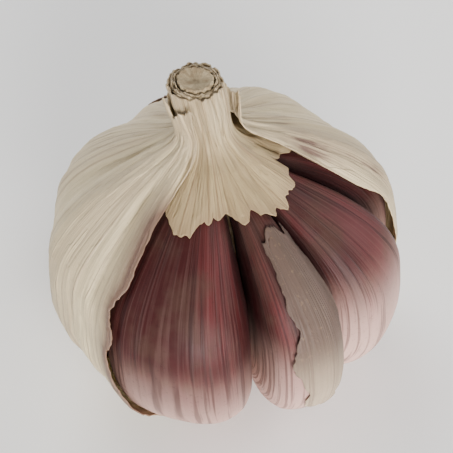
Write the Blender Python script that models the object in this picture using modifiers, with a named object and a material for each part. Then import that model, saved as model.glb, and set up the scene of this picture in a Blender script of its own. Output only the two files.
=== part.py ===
"""A cured purple garlic bulb, standing on its root plate.

Cloves stand in one whorl round the dry stem, whose flat root plate carries them. What is left of the papery
wrappers covers the left side, the back and the neck, and the front cloves are bare.

Metres, +Z up. The origin is under the middle of the root plate, on the surface that the bulb stands on.
Azimuth is counted in degrees from the front, which faces -Y, towards +X. The axis leans towards -X as it
rises, and every radius is measured from it.
"""

import math
from collections import namedtuple

import bmesh
import bpy
from mathutils import Vector

# The whole bulb
BULB_RADIUS = 0.0262
BELLY_HEIGHT = 0.0172
CLOVE_TIP_HEIGHT = 0.0400
NECK_HEIGHT = 0.0515
NECK_LEAN = 0.0050  # of the axis, at NECK_HEIGHT

# Stem: a root plate with a flat resting face and a conical top, and the stalk that grows from it
PLATE_RADIUS = 0.0085
PLATE_RIM_HEIGHT = 0.0014
PLATE_CROWN_HEIGHT = 0.0044
REST_RADIUS = 0.0064
STALK_RADIUS = 0.0026
PLATE_SEGMENTS = 32
STALK_POINTS = 12

# Fits and walls
CLEARANCE = 0.00036
WRAPPER_THICKNESS = 0.0003
SHEATH_THICKNESS = 0.0005
NECK_ROOM = 0.0014  # between the stalk and the neck sheath, at the cut end
NECK_TIGHTNESS = 0.29  # how soon the neck narrows, against how flatly it leaves the shoulders

# The bulb's outline: a superellipse below the belly, one ogee from the belly to the clove tips
UNDERSIDE_POWER = 0.85
SHOULDER_FULLNESS = 3.0
SHOULDER_FALL = 1.45
UNDERSIDE_SHARE = 0.4  # of the outline's parameter, up to the belly
TIP_DEPTH = 0.0014  # of a clove's tip, from its inner face to its outer one

# A clove's section
FLANK_POWER = 0.60  # under 1 presses the flanks flat against the neighbours
BACK_POWER = 1.00
RIB_RISE = 1.2  # how late a clove's inner rib climbs the stalk
CLOVE_SIDES = 20
CLOVE_SECTIONS = 17

# share: of the whole turn. fullness: of BULB_RADIUS. drop: of the tip, below CLOVE_TIP_HEIGHT.
Clove = namedtuple("Clove", "share fullness drop")
CLOVES = (
    Clove(62, 1.080, 0.0000),
    Clove(34, 1.030, 0.0005),
    Clove(50, 0.995, 0.0012),
    Clove(43, 0.970, 0.0020),
    Clove(45, 0.990, 0.0008),
    Clove(39, 0.955, 0.0016),
    Clove(45, 0.985, 0.0010),
    Clove(42, 0.990, 0.0018),
)
FIRST_CLEFT = -50.0  # azimuth of the cleft before the first clove
STRIP_CLOVE = 1  # the clove whose back keeps a strip of wrapper

# What covers the cloves follows their outline up to COVER_TURN, and from there the neck, whose own parameter
# is 0 at COVER_TURN and 1 at the cut end.
COVER_TURN = 0.88  # of the outline's parameter

# Neck sheath: the dry leaf bases round the stalk, and their skirt over the clove tips
SKIRT_START = 0.77  # of the outline's parameter
SKIRT_WAVE = 0.015
SKIRT_ROWS = 5
NECK_ROWS = 8
SHEATH_SIDES = 36

# Wrappers, which lie on the cloves and, from the skirt on, over the sheath
WRAPPER_FOOT = 0.04  # of the outline's parameter
LIFT_START = 0.58  # where they begin to rise over the skirt
WRAPPER_STEP = 7.5  # degrees
WRAPPER_ROWS = 16
WRAPPER_NECK_ROWS = 5
WRAPPER_DIP = 0.0008  # how far paper sags into a cleft
TEAR_AT_FOOT = -18.0  # azimuth of the left wrapper's torn edge at its foot
TEAR_AT_TOP = -8.0  # and at its top
TEAR_OPENING = 21.0  # and how far it draws back between them
LEFT_WRAPPER_END = -176.0
LEFT_WRAPPER_TOP = 0.5  # of the neck's parameter
BACK_WRAPPER_START = -154.0
BACK_WRAPPER_END = -263.0
BACK_WRAPPER_TOP = 0.3
EDGE_WAVE = 2.5  # degrees by which a torn edge wanders

# Strip of wrapper on one clove: across in degrees round the clove's section, along in its parameter
STRIP_LEFT = -12.0
STRIP_RIGHT = 44.0
STRIP_FOOT = 0.26
STRIP_TOP = 0.72
STRIP_COLUMNS = 7
STRIP_ROWS = 14


def clear_scene():
    """Removes every object of the startup scene."""
    for obj in list(bpy.data.objects):
        bpy.data.objects.remove(obj, do_unlink=True)


def make_material(name, colour, roughness):
    """A plain Principled material of that colour and roughness."""
    material = bpy.data.materials.new(name)
    material.use_nodes = True
    shader = material.node_tree.nodes["Principled BSDF"]
    shader.inputs["Base Color"].default_value = (*colour, 1.0)
    shader.inputs["Roughness"].default_value = roughness
    shader.inputs["Metallic"].default_value = 0.0
    material.diffuse_color = (*colour, 1.0)
    return material


def axis_offset(height):
    """Where the leaning axis is along X at that height."""
    return -NECK_LEAN * (max(height, 0.0) / NECK_HEIGHT) ** 2


def place(azimuth, radius, height):
    """The point at that azimuth, in degrees, and that distance from the leaning axis."""
    turn = math.radians(azimuth)
    return Vector(
        (axis_offset(height) + radius * math.sin(turn), -radius * math.cos(turn), height)
    )


def signed_power(value, power):
    """value to that power, with its sign kept."""
    return math.copysign(abs(value) ** power, value)


def plate_height(radius):
    """Height of the root plate's conical top at that radius."""
    share = (radius - STALK_RADIUS) / (PLATE_RADIUS - STALK_RADIUS)
    return PLATE_CROWN_HEIGHT + share * (PLATE_RIM_HEIGHT - PLATE_CROWN_HEIGHT)


def outline(t, fullness=1.0, drop=0.0):
    """(radius, height) of a clove's back: t is 0 at the plate's rim and 1 at the tip."""
    belly = BULB_RADIUS * fullness
    if t < UNDERSIDE_SHARE:
        turn = math.pi / 2 * t / UNDERSIDE_SHARE
        out = math.sin(turn) ** UNDERSIDE_POWER
        down = math.cos(turn) ** UNDERSIDE_POWER
        foot_height = PLATE_RIM_HEIGHT + CLEARANCE
        return (
            PLATE_RADIUS + (belly - PLATE_RADIUS) * out,
            BELLY_HEIGHT - (BELLY_HEIGHT - foot_height) * down,
        )
    rise = math.sin(math.pi / 2 * (t - UNDERSIDE_SHARE) / (1 - UNDERSIDE_SHARE))
    fall = max(1 - rise**SHOULDER_FULLNESS, 0.0) ** SHOULDER_FALL
    tip = STALK_RADIUS + CLEARANCE + TIP_DEPTH
    return (
        tip + (belly - tip) * fall,
        BELLY_HEIGHT + (CLOVE_TIP_HEIGHT - drop - BELLY_HEIGHT) * rise,
    )


def outline_beyond(t, offset, fullness):
    """(radius, height) at that distance outside the outline of that fullness, along its normal."""
    step = 1e-3
    lower_radius, lower_height = outline(max(t - step, 0.0), fullness)
    upper_radius, upper_height = outline(min(t + step, 1.0), fullness)
    across, up = upper_radius - lower_radius, upper_height - lower_height
    length = math.hypot(across, up)
    radius, height = outline(t, fullness)
    return radius + offset * up / length, height - offset * across / length


def clefts():
    """The azimuth of the cleft before each clove, and of the one after the last."""
    whole = sum(clove.share for clove in CLOVES)
    found = [FIRST_CLEFT]
    for clove in CLOVES:
        found.append(found[-1] + 360.0 * clove.share / whole)
    return found


def across_clove(azimuth):
    """(index, side) of the clove at that azimuth. side runs from -1 in the cleft before it to 1."""
    edges = clefts()
    turned = (azimuth - edges[0]) % 360.0 + edges[0]
    index = max(i for i in range(len(CLOVES)) if turned >= edges[i])
    before, after = edges[index : index + 2]
    return index, 2 * (turned - before) / (after - before) - 1


def fullness_at(azimuth):
    """The fullness of what covers the cloves, which passes evenly from one clove's to the next one's."""
    index, side = across_clove(azimuth)
    neighbour = CLOVES[(index + (1 if side > 0 else -1)) % len(CLOVES)]
    share = math.sin(math.pi / 4 * abs(side)) ** 2
    return CLOVES[index].fullness * (1 - share) + neighbour.fullness * share


def clove_point(index, t, turn):
    """A point of a clove's surface. t runs from foot to tip; turn is 0 on its back and 180 on its rib."""
    clove = CLOVES[index]
    before, after = clefts()[index : index + 2]
    back_radius, back_height = outline(t, clove.fullness, clove.drop)
    rib_radius = STALK_RADIUS + CLEARANCE
    rib_foot = plate_height(rib_radius) + CLEARANCE
    rib_top = CLOVE_TIP_HEIGHT - clove.drop
    rib_height = rib_foot + (rib_top - rib_foot) * t**RIB_RISE
    outward = signed_power(math.cos(math.radians(turn)), BACK_POWER)
    radius = (back_radius + rib_radius) / 2 + (back_radius - rib_radius) / 2 * outward
    height = (back_height + rib_height) / 2 + (back_height - rib_height) / 2 * outward
    half = (after - before) / 2 - math.degrees(CLEARANCE / 2 / radius)
    sideways = signed_power(math.sin(math.radians(turn)), FLANK_POWER)
    return place((before + after) / 2 + half * sideways, radius, height)


def beyond_clove(index, t, turn, offset):
    """A point at that distance outside a clove's surface."""
    step_t, step_turn = 1e-3, 0.1
    along = clove_point(index, t + step_t, turn) - clove_point(index, t - step_t, turn)
    across = clove_point(index, t, turn + step_turn) - clove_point(index, t, turn - step_turn)
    return clove_point(index, t, turn) + offset * across.cross(along).normalized()


def mesh_object(name, build, material, collection):
    """An object whose mesh is what build adds to an empty bmesh, with round faces shaded smooth."""
    mesh = bpy.data.meshes.new(name)
    work = bmesh.new()
    build(work)
    work.to_mesh(mesh)
    work.free()
    mesh.shade_smooth()
    mesh.set_sharp_from_angle(angle=math.radians(40))
    mesh.materials.append(material)
    obj = bpy.data.objects.new(name, mesh)
    collection.objects.link(obj)
    return obj


def loft(work, sections, closed):
    """Joins rows of points with quads, and returns the rows. closed joins each row's two ends."""
    rows = [[work.verts.new(point) for point in section] for section in sections]
    count = len(rows[0])
    for lower, upper in zip(rows, rows[1:]):
        for i in range(count if closed else count - 1):
            j = (i + 1) % count
            work.faces.new((lower[i], lower[j], upper[j], upper[i]))
    return rows


def cap(work, row):
    """Closes a ring of vertices with a fan round its middle."""
    middle = work.verts.new(sum((vert.co for vert in row), Vector()) / len(row))
    for vert, following in zip(row, row[1:] + row[:1]):
        work.faces.new((vert, following, middle))


def sheet_object(name, sections, closed, thickness, material, collection):
    """A thin shell whose inner face goes through rows of points. closed joins each row's two ends."""

    def build(work):
        loft(work, sections, closed)
        work.normal_update()
        centre = Vector((0.0, 0.0, BELLY_HEIGHT))
        outward = sum(face.normal.dot(face.calc_center_median() - centre) for face in work.faces)
        if outward < 0:
            bmesh.ops.reverse_faces(work, faces=work.faces)

    obj = mesh_object(name, build, material, collection)
    wall = obj.modifiers.new("Wall", "SOLIDIFY")
    wall.thickness = thickness
    wall.offset = 1.0
    wall.use_even_offset = True
    return obj


def make_stalk(collection):
    """The dry stalk as a mesh, along the leaning axis from inside the root plate to its cut end."""
    curve = bpy.data.curves.new("stalk", "CURVE")
    curve.dimensions = "3D"
    curve.bevel_depth = STALK_RADIUS
    curve.bevel_resolution = 4
    curve.use_fill_caps = True
    spline = curve.splines.new("POLY")
    spline.points.add(STALK_POINTS - 1)
    foot = PLATE_CROWN_HEIGHT / 2
    for i, point in enumerate(spline.points):
        height = foot + (NECK_HEIGHT - foot) * i / (STALK_POINTS - 1)
        point.co = (axis_offset(height), 0.0, height, 1.0)
    tube = bpy.data.objects.new("stalk_curve", curve)
    collection.objects.link(tube)
    evaluated = tube.evaluated_get(bpy.context.evaluated_depsgraph_get())
    mesh = bpy.data.meshes.new_from_object(evaluated)
    work = bmesh.new()
    work.from_mesh(mesh)
    bmesh.ops.remove_doubles(work, verts=work.verts, dist=1e-6)
    bmesh.ops.recalc_face_normals(work, faces=work.faces)
    work.to_mesh(mesh)
    work.free()
    stalk = bpy.data.objects.new("stalk", mesh)
    stalk.matrix_world = tube.matrix_world
    stalk.hide_render = True
    stalk.display_type = "WIRE"
    collection.objects.link(stalk)
    bpy.data.objects.remove(tube, do_unlink=True)
    return stalk


def make_stem(material, collection, cutters):
    """The stem: the turned root plate, joined to the stalk."""
    profile = (
        (0.0, PLATE_CROWN_HEIGHT),
        (STALK_RADIUS, PLATE_CROWN_HEIGHT),
        (PLATE_RADIUS, PLATE_RIM_HEIGHT),
        ((PLATE_RADIUS + REST_RADIUS) / 2, PLATE_RIM_HEIGHT / 5),
        (REST_RADIUS, 0.0),
        (0.0, 0.0),
    )

    def build(work):
        points = [work.verts.new((radius, 0.0, height)) for radius, height in profile]
        for a, b in zip(points, points[1:]):
            work.edges.new((a, b))

    obj = mesh_object("stem", build, material, collection)
    turned = obj.modifiers.new("Turned", "SCREW")
    turned.axis = "Z"
    turned.steps = PLATE_SEGMENTS
    turned.render_steps = PLATE_SEGMENTS
    turned.use_merge_vertices = True
    turned.merge_threshold = 0.00001
    joined = obj.modifiers.new("Joined", "BOOLEAN")
    joined.operation = "UNION"
    joined.solver = "EXACT"
    joined.object = make_stalk(cutters)
    return obj


def make_clove(index, material, collection):
    """One clove: a loft from its foot on the root plate to its tip at the stalk."""
    turns = [360.0 * i / CLOVE_SIDES for i in range(CLOVE_SIDES)]

    def build(work):
        sections = [
            [clove_point(index, row / (CLOVE_SECTIONS - 1), turn) for turn in turns]
            for row in range(CLOVE_SECTIONS)
        ]
        rows = loft(work, sections, closed=True)
        cap(work, rows[0])
        cap(work, rows[-1])
        bmesh.ops.recalc_face_normals(work, faces=work.faces)

    return mesh_object(f"clove_{index + 1}", build, material, collection)


def neck_curve(share, fullness):
    """(radius, height) inside the neck sheath. share is 0 at COVER_TURN and 1 at the cut end."""
    radius, height = outline_beyond(COVER_TURN, CLEARANCE, fullness)
    below_radius, below_height = outline_beyond(COVER_TURN - 0.01, CLEARANCE, fullness)
    slope = (radius - below_radius) / (height - below_height)
    rise = NECK_HEIGHT - SHEATH_THICKNESS - height
    cut_radius = STALK_RADIUS + NECK_ROOM
    steepness = -slope * rise / (radius - cut_radius)
    power = NECK_TIGHTNESS * steepness
    narrowing = (1 + (power - steepness) * share) * (1 - share) ** power
    return cut_radius + (radius - cut_radius) * narrowing, height + rise * share


def neck_beyond(share, offset, fullness):
    """(radius, height) at that distance outside the neck sheath's inner face."""
    step = 1e-3
    lower_radius, lower_height = neck_curve(share, fullness)
    upper_radius, upper_height = neck_curve(share + step, fullness)
    across, up = upper_radius - lower_radius, upper_height - lower_height
    length = math.hypot(across, up)
    return lower_radius + offset * up / length, lower_height - offset * across / length


def wrapper_offset(t, layer):
    """How far a wrapper's inner face is from the cloves. layer counts the wrappers that lie under it."""
    skirt_edge = SKIRT_START - SKIRT_WAVE
    lift = min(max((t - LIFT_START) / (skirt_edge - LIFT_START), 0.0), 1.0)
    over_skirt = lift * lift * (3 - 2 * lift) * (SHEATH_THICKNESS + CLEARANCE)
    return CLEARANCE + layer * (WRAPPER_THICKNESS + CLEARANCE) + over_skirt


def make_wrapper(name, first_edge, last_edge, top, layer, material, collection):
    """A papery sheet between two torn edges, each a function of how far up the sheet it is."""
    columns = math.ceil(abs(last_edge(0.5) - first_edge(0.5)) / WRAPPER_STEP)
    rows = WRAPPER_ROWS + WRAPPER_NECK_ROWS
    sections = []
    for row in range(rows + 1):
        start, end = first_edge(row / rows), last_edge(row / rows)
        section = []
        for column in range(columns + 1):
            azimuth = start + (end - start) * column / columns
            fullness = fullness_at(azimuth)
            if row <= WRAPPER_ROWS:
                t = WRAPPER_FOOT + (COVER_TURN - WRAPPER_FOOT) * row / WRAPPER_ROWS
                radius, height = outline_beyond(t, wrapper_offset(t, layer), fullness)
                radius -= WRAPPER_DIP * math.sin(math.pi * t) * across_clove(azimuth)[1] ** 4
            else:
                share = top * (row - WRAPPER_ROWS) / WRAPPER_NECK_ROWS
                radius, height = neck_beyond(share, wrapper_offset(1.0, layer) - CLEARANCE, fullness)
                radius -= WRAPPER_DIP * math.sin(math.pi * COVER_TURN) * across_clove(azimuth)[1] ** 4
            section.append(place(azimuth, radius, height))
        sections.append(section)
    return sheet_object(name, sections, False, WRAPPER_THICKNESS, material, collection)


def torn_front_edge(up):
    """Azimuth of the left wrapper's edge, which bares the broad front clove."""
    opening = TEAR_OPENING * math.sin(math.pi * up) ** 0.8
    return TEAR_AT_FOOT + (TEAR_AT_TOP - TEAR_AT_FOOT) * up - opening


def wavy_edge(azimuth):
    """An edge that wanders about that azimuth on its way up."""
    return lambda up: azimuth + EDGE_WAVE * math.sin(7.0 * up)


def make_neck_sheath(material, collection):
    """The leaf bases round the stalk, with a skirt that lies over the clove tips."""
    sections = []
    for row in range(SKIRT_ROWS + NECK_ROWS + 1):
        section = []
        for side in range(SHEATH_SIDES):
            azimuth = 360.0 * side / SHEATH_SIDES
            fullness = fullness_at(azimuth)
            if row <= SKIRT_ROWS:
                start = SKIRT_START + SKIRT_WAVE * math.sin(math.radians(5 * azimuth))
                t = start + (COVER_TURN - start) * row / SKIRT_ROWS
                point = outline_beyond(t, CLEARANCE, fullness)
            else:
                point = neck_curve((row - SKIRT_ROWS) / NECK_ROWS, fullness)
            section.append(place(azimuth, *point))
        sections.append(section)
    return sheet_object("neck_sheath", sections, True, SHEATH_THICKNESS, material, collection)


def make_wrapper_strip(material, collection):
    """The strip of wrapper that still clings to the back of one clove."""
    sections = []
    for row in range(STRIP_ROWS + 1):
        up = row / STRIP_ROWS
        t = STRIP_FOOT + (STRIP_TOP - STRIP_FOOT) * up
        left = STRIP_LEFT + EDGE_WAVE * math.sin(9.0 * up)
        turns = [left + (STRIP_RIGHT - left) * i / STRIP_COLUMNS for i in range(STRIP_COLUMNS + 1)]
        sections.append([beyond_clove(STRIP_CLOVE, t, turn, CLEARANCE) for turn in turns])
    return sheet_object("wrapper_strip", sections, False, WRAPPER_THICKNESS, material, collection)


def main():
    clear_scene()
    collection = bpy.data.collections.new("garlic_bulb")
    bpy.context.scene.collection.children.link(collection)
    cutters = bpy.data.collections.new("cutters")
    bpy.context.scene.collection.children.link(cutters)
    clove_skin = make_material("clove_skin", (0.30, 0.12, 0.12), 0.45)
    paper = make_material("wrapper_paper", (0.72, 0.66, 0.54), 0.7)
    neck_paper = make_material("neck_paper", (0.55, 0.45, 0.28), 0.8)
    dry_stem = make_material("dry_stem", (0.36, 0.26, 0.15), 0.85)

    make_stem(dry_stem, collection, cutters)
    for index in range(len(CLOVES)):
        make_clove(index, clove_skin, collection)
    edges = torn_front_edge, wavy_edge(LEFT_WRAPPER_END)
    make_wrapper("wrapper_left", *edges, LEFT_WRAPPER_TOP, 0, paper, collection)
    edges = wavy_edge(BACK_WRAPPER_START), wavy_edge(BACK_WRAPPER_END)
    make_wrapper("wrapper_back", *edges, BACK_WRAPPER_TOP, 1, paper, collection)
    make_wrapper_strip(paper, collection)
    make_neck_sheath(neck_paper, collection)


main()
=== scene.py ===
"""Looks of a cured purple garlic bulb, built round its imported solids.

Every surface follows one form, the bulb's: cloves in a whorl round the stalk, on a flat root plate, and
papery skins that lie over them and run up the neck. A point of a skin is given by its azimuth, in degrees
from the front (-Y) towards +X, and by how far it is along the way from the root plate to the cut end of the
neck. Lengths are in metres unless a name ends in _mm.
"""

from __future__ import annotations

import logging
import math
from dataclasses import dataclass
from enum import Enum
from typing import Callable

import bpy
import numpy as np
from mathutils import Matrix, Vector

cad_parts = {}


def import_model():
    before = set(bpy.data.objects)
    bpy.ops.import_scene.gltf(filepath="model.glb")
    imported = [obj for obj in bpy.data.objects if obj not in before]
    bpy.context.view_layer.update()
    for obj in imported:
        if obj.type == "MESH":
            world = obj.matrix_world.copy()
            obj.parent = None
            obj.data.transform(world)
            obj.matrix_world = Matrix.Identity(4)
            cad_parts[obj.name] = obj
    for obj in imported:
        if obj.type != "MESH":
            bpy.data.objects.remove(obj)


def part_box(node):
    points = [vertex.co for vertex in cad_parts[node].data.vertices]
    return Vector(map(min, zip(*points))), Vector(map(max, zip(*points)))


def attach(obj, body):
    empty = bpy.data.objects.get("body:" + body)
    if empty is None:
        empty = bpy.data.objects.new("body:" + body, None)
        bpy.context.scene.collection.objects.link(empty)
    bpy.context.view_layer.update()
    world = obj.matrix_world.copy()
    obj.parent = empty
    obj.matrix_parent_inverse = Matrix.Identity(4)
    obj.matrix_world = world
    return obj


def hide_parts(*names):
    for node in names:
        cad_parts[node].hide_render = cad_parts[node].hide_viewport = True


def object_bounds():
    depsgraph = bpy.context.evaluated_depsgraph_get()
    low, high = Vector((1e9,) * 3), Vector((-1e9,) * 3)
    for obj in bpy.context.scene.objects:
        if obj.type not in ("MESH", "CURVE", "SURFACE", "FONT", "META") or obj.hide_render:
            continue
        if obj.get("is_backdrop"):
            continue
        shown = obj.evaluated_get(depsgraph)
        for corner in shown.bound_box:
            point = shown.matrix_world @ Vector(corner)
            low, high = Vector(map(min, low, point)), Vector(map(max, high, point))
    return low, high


LOG = logging.getLogger("garlic_bulb")
MM = 0.001
BODY = "root"

# The rounds on which grain is laid out: a skin's, a clove's and the stalk's, and the way up a clove.
SKIN_ROUND_MM = 26.0
CLOVE_ROUND_MM = 9.5
CLOVE_WAY_MM = 42.0
STALK_ROUND_MM = 9.0

Array = np.ndarray
Socket = bpy.types.NodeSocket
Sockets = bpy.types.NodeOutputs
Colour = tuple[float, float, float]


# ---------------------------------------------------------------- noise and meshes


def lattice_value(cells: Array, seed: int) -> Array:
    """A fixed number from -1 to 1 for each cell of a lattice.

    Args:
        cells: whole numbers, with x, y and z last.
        seed: which lattice it is.

    Returns:
        One number for each cell.
    """
    x, y, z = (cells[..., i].astype(np.uint32) for i in range(3))
    mixed = x * np.uint32(374761393) + y * np.uint32(668265263) + z * np.uint32(2246822519)
    mixed = mixed + np.uint32(seed * 3266489917 % 2**32)
    mixed = (mixed ^ (mixed >> np.uint32(15))) * np.uint32(2246822519)
    mixed = (mixed ^ (mixed >> np.uint32(13))) * np.uint32(3266489917)
    mixed = mixed ^ (mixed >> np.uint32(16))
    return mixed.astype(np.float64) / (2.0**31) - 1.0


def noise(points: Array, seed: int, octaves: int = 1) -> Array:
    """Smooth noise from about -1 to 1, one unit from hump to dip.

    Args:
        points: coordinates, with x, y and z last.
        seed: which noise it is.
        octaves: how many layers there are, each half as large and twice as fine as the one before.

    Returns:
        One number for each point.
    """
    total = np.zeros(points.shape[:-1])
    size, fine = 1.0, 1.0
    for octave in range(octaves):
        scaled = points * fine
        cell = np.floor(scaled).astype(np.int64)
        part = scaled - cell
        part = part * part * (3.0 - 2.0 * part)
        for corner in np.ndindex(2, 2, 2):
            weight = np.prod(np.where(corner, part, 1.0 - part), axis=-1)
            total += size * weight * lattice_value(cell + np.array(corner), seed + 101 * octave)
        size, fine = size / 2.0, fine * 2.03
    return total


def creases(points: Array, seed: int, octaves: int = 2) -> Array:
    """Noise with sharp crests, as in crumpled paper, from about -1 to 1."""
    return 1.0 - 2.0 * np.abs(noise(points, seed, octaves))


def smoothstep(value: Array, low: float, high: float) -> Array:
    """0 up to low, 1 from high on, and smooth between."""
    share = np.clip((value - low) / (high - low), 0.0, 1.0)
    return share * share * (3.0 - 2.0 * share)


def normals(points: Array, closed: bool) -> Array:
    """The unit normals of rows of surface points, on the side that faces away from the rows' middles.

    Args:
        points: (rows, columns, 3) of coordinates.
        closed: whether each row's last point is followed by its first.

    Returns:
        (rows, columns, 3) of unit vectors.
    """
    along = np.gradient(points, axis=0)
    if closed:
        across = np.roll(points, -1, axis=1) - np.roll(points, 1, axis=1)
    else:
        across = np.gradient(points, axis=1)
    found = np.cross(across, along)
    found /= np.maximum(np.linalg.norm(found, axis=-1, keepdims=True), 1e-12)
    return found


def grid(rows: int, columns: int) -> tuple[Array, Array]:
    """How far each point of an open sheet is along its rows and across its columns, from 0 to 1."""
    return np.meshgrid(np.linspace(0.0, 1.0, rows), np.linspace(0.0, 1.0, columns), indexing="ij")


def unit_circle(azimuth: Array) -> Array:
    """Points of a flat circle of radius 1 at those azimuths, in degrees."""
    turn = np.radians(azimuth)
    return np.stack([np.sin(turn), np.cos(turn), np.zeros_like(turn)], axis=-1)


def ring_grid(way: Array, azimuth: Array) -> tuple[Array, Array]:
    """The way up and the azimuth of each point of a ring-shaped sheet."""
    return np.meshgrid(way, azimuth, indexing="ij")


def round_grain(circle: Array, radius_mm: float, along_mm: Array) -> Array:
    """Grain that lies on a round of that radius and runs along the growth.

    Args:
        circle: points of a flat circle of radius 1.
        radius_mm: the round's radius.
        along_mm: how far each point is along the growth.

    Returns:
        Coordinates in millimetres.
    """
    grain = circle * radius_mm
    grain[..., 2] = along_mm
    return grain


@dataclass
class Surface:
    """Rows of points, with what a finish reads at each of them.

    grain holds coordinates in millimetres that follow the growth of the skin: across it in x and y, and along
    it in z. marks holds three numbers whose meaning each finish gives.
    """

    points: Array
    grain: Array
    marks: Array
    closed: bool = False
    capped: bool = False

    def faces(self) -> list[tuple[int, ...]]:
        """Quads between the rows, and a fan on each end of a capped tube, whose middles come last.

        Returns:
            Each face's corners, as numbers of vertices.
        """
        rows, columns = self.points.shape[:2]
        number = np.arange(rows * columns).reshape(rows, columns)
        following = np.roll(number, -1, axis=1)
        if not self.closed:
            number, following = number[:, :-1], following[:, :-1]
        corners = (number[:-1], following[:-1], following[1:], number[1:])
        quads = [tuple(q) for q in np.stack(corners, axis=-1).reshape(-1, 4).tolist()]
        if not self.capped:
            return quads
        first, last = rows * columns, rows * columns + 1
        bottom, top = np.arange(columns), np.arange(columns) + (rows - 1) * columns
        quads += [(b, a, first) for a, b in zip(bottom.tolist(), np.roll(bottom, -1).tolist())]
        quads += [(a, b, last) for a, b in zip(top.tolist(), np.roll(top, -1).tolist())]
        return quads

    def flat(self, values: Array) -> Array:
        """A list of the values at each vertex, with the caps' middles after the rows.

        Args:
            values: (rows, columns, 3) of numbers.

        Returns:
            (vertices, 3) of numbers.
        """
        listed = values.reshape(-1, 3)
        if self.capped:
            ends = [values[0].mean(axis=0), values[-1].mean(axis=0)]
            listed = np.concatenate([listed, ends])
        return listed


def raised(surface: Surface, lift_mm: Array, middle: float) -> Surface:
    """An open or ring-shaped surface, moved along its normals and turned so that its faces point outwards.

    Args:
        surface: the surface to move.
        lift_mm: how far each point moves away from the bulb's middle.
        middle: the height of the bulb's middle.

    Returns:
        The moved surface, with the same grain and marks.
    """
    out = normals(surface.points, surface.closed)
    outward = np.sign((out * (surface.points - np.array([0, 0, middle]))).sum(-1).mean())
    values = (surface.points + outward * out * (lift_mm * MM)[..., None], surface.grain, surface.marks)
    if outward < 0:
        values = tuple(value[:, ::-1] for value in values)
    return Surface(*values, closed=surface.closed)


def mesh_piece(name: str, surfaces: list[Surface], material: bpy.types.Material) -> bpy.types.Object:
    """One smooth object made of surfaces, with their grain and marks as attributes.

    Args:
        name: the object's name.
        surfaces: what it is made of.
        material: its finish.

    Returns:
        The new object, at the origin.
    """
    points, grain, marks, faces = [], [], [], []
    count = 0
    for surface in surfaces:
        faces += [tuple(count + i for i in face) for face in surface.faces()]
        points.append(surface.flat(surface.points))
        grain.append(surface.flat(surface.grain))
        marks.append(surface.flat(surface.marks))
        count += len(points[-1])
    mesh = bpy.data.meshes.new(name)
    mesh.from_pydata(np.concatenate(points).tolist(), [], faces)
    for label, values in (("grain", grain), ("marks", marks)):
        attribute = mesh.attributes.new(label, "FLOAT_VECTOR", "POINT")
        attribute.data.foreach_set("vector", np.concatenate(values).astype(np.float32).ravel())
    mesh.shade_smooth()
    mesh.materials.append(material)
    piece = bpy.data.objects.new(name, mesh)
    bpy.context.scene.collection.objects.link(piece)
    return piece


def give_wall(piece: bpy.types.Object, thickness: float) -> None:
    """Gives an open sheet a wall on its outer side.

    Args:
        piece: the sheet.
        thickness: how thick its wall becomes.
    """
    wall = piece.modifiers.new("wall", "SOLIDIFY")
    wall.thickness = thickness
    wall.offset = 1.0


def hand_in(piece: bpy.types.Object, slot: str, *nodes: str) -> None:
    """Rides a piece on the bulb's body, in place of CAD nodes.

    Args:
        piece: the finished piece.
        slot: not used.
        nodes: the CAD nodes that it stands for.
    """
    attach(piece, BODY)
    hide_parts(*nodes)
    LOG.info("%s: %d faces", piece.name, len(piece.data.polygons))


def from_nodes(name: str, tree: bpy.types.NodeTree, values: dict[str, float]) -> bpy.types.Object:
    """A plain mesh object made by a Geometry Nodes tree.

    Args:
        name: the object's name.
        tree: the tree that makes it.
        values: the tree's inputs that differ from their defaults, by name.

    Returns:
        The new object, at the origin, with no modifier.
    """
    holder = bpy.data.objects.new(f"{name}_nodes", bpy.data.meshes.new(f"{name}_nodes"))
    modifier = holder.modifiers.new("nodes", "NODES")
    modifier.node_group = tree
    for item in tree.interface.items_tree:
        if item.in_out == "INPUT" and item.name in values:
            modifier[item.identifier] = values[item.name]
    bpy.context.scene.collection.objects.link(holder)
    evaluated = holder.evaluated_get(bpy.context.evaluated_depsgraph_get())
    mesh = bpy.data.meshes.new_from_object(evaluated)
    mesh.name = name
    bpy.data.objects.remove(holder, do_unlink=True)
    piece = bpy.data.objects.new(name, mesh)
    bpy.context.scene.collection.objects.link(piece)
    return piece


# ---------------------------------------------------------------- the bulb's form


@dataclass(frozen=True)
class CloveSize:
    """A clove's share of the turn in degrees, its bulge over the bulb's radius, and its tip's drop."""

    share: float
    fullness: float
    drop_mm: float


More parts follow.
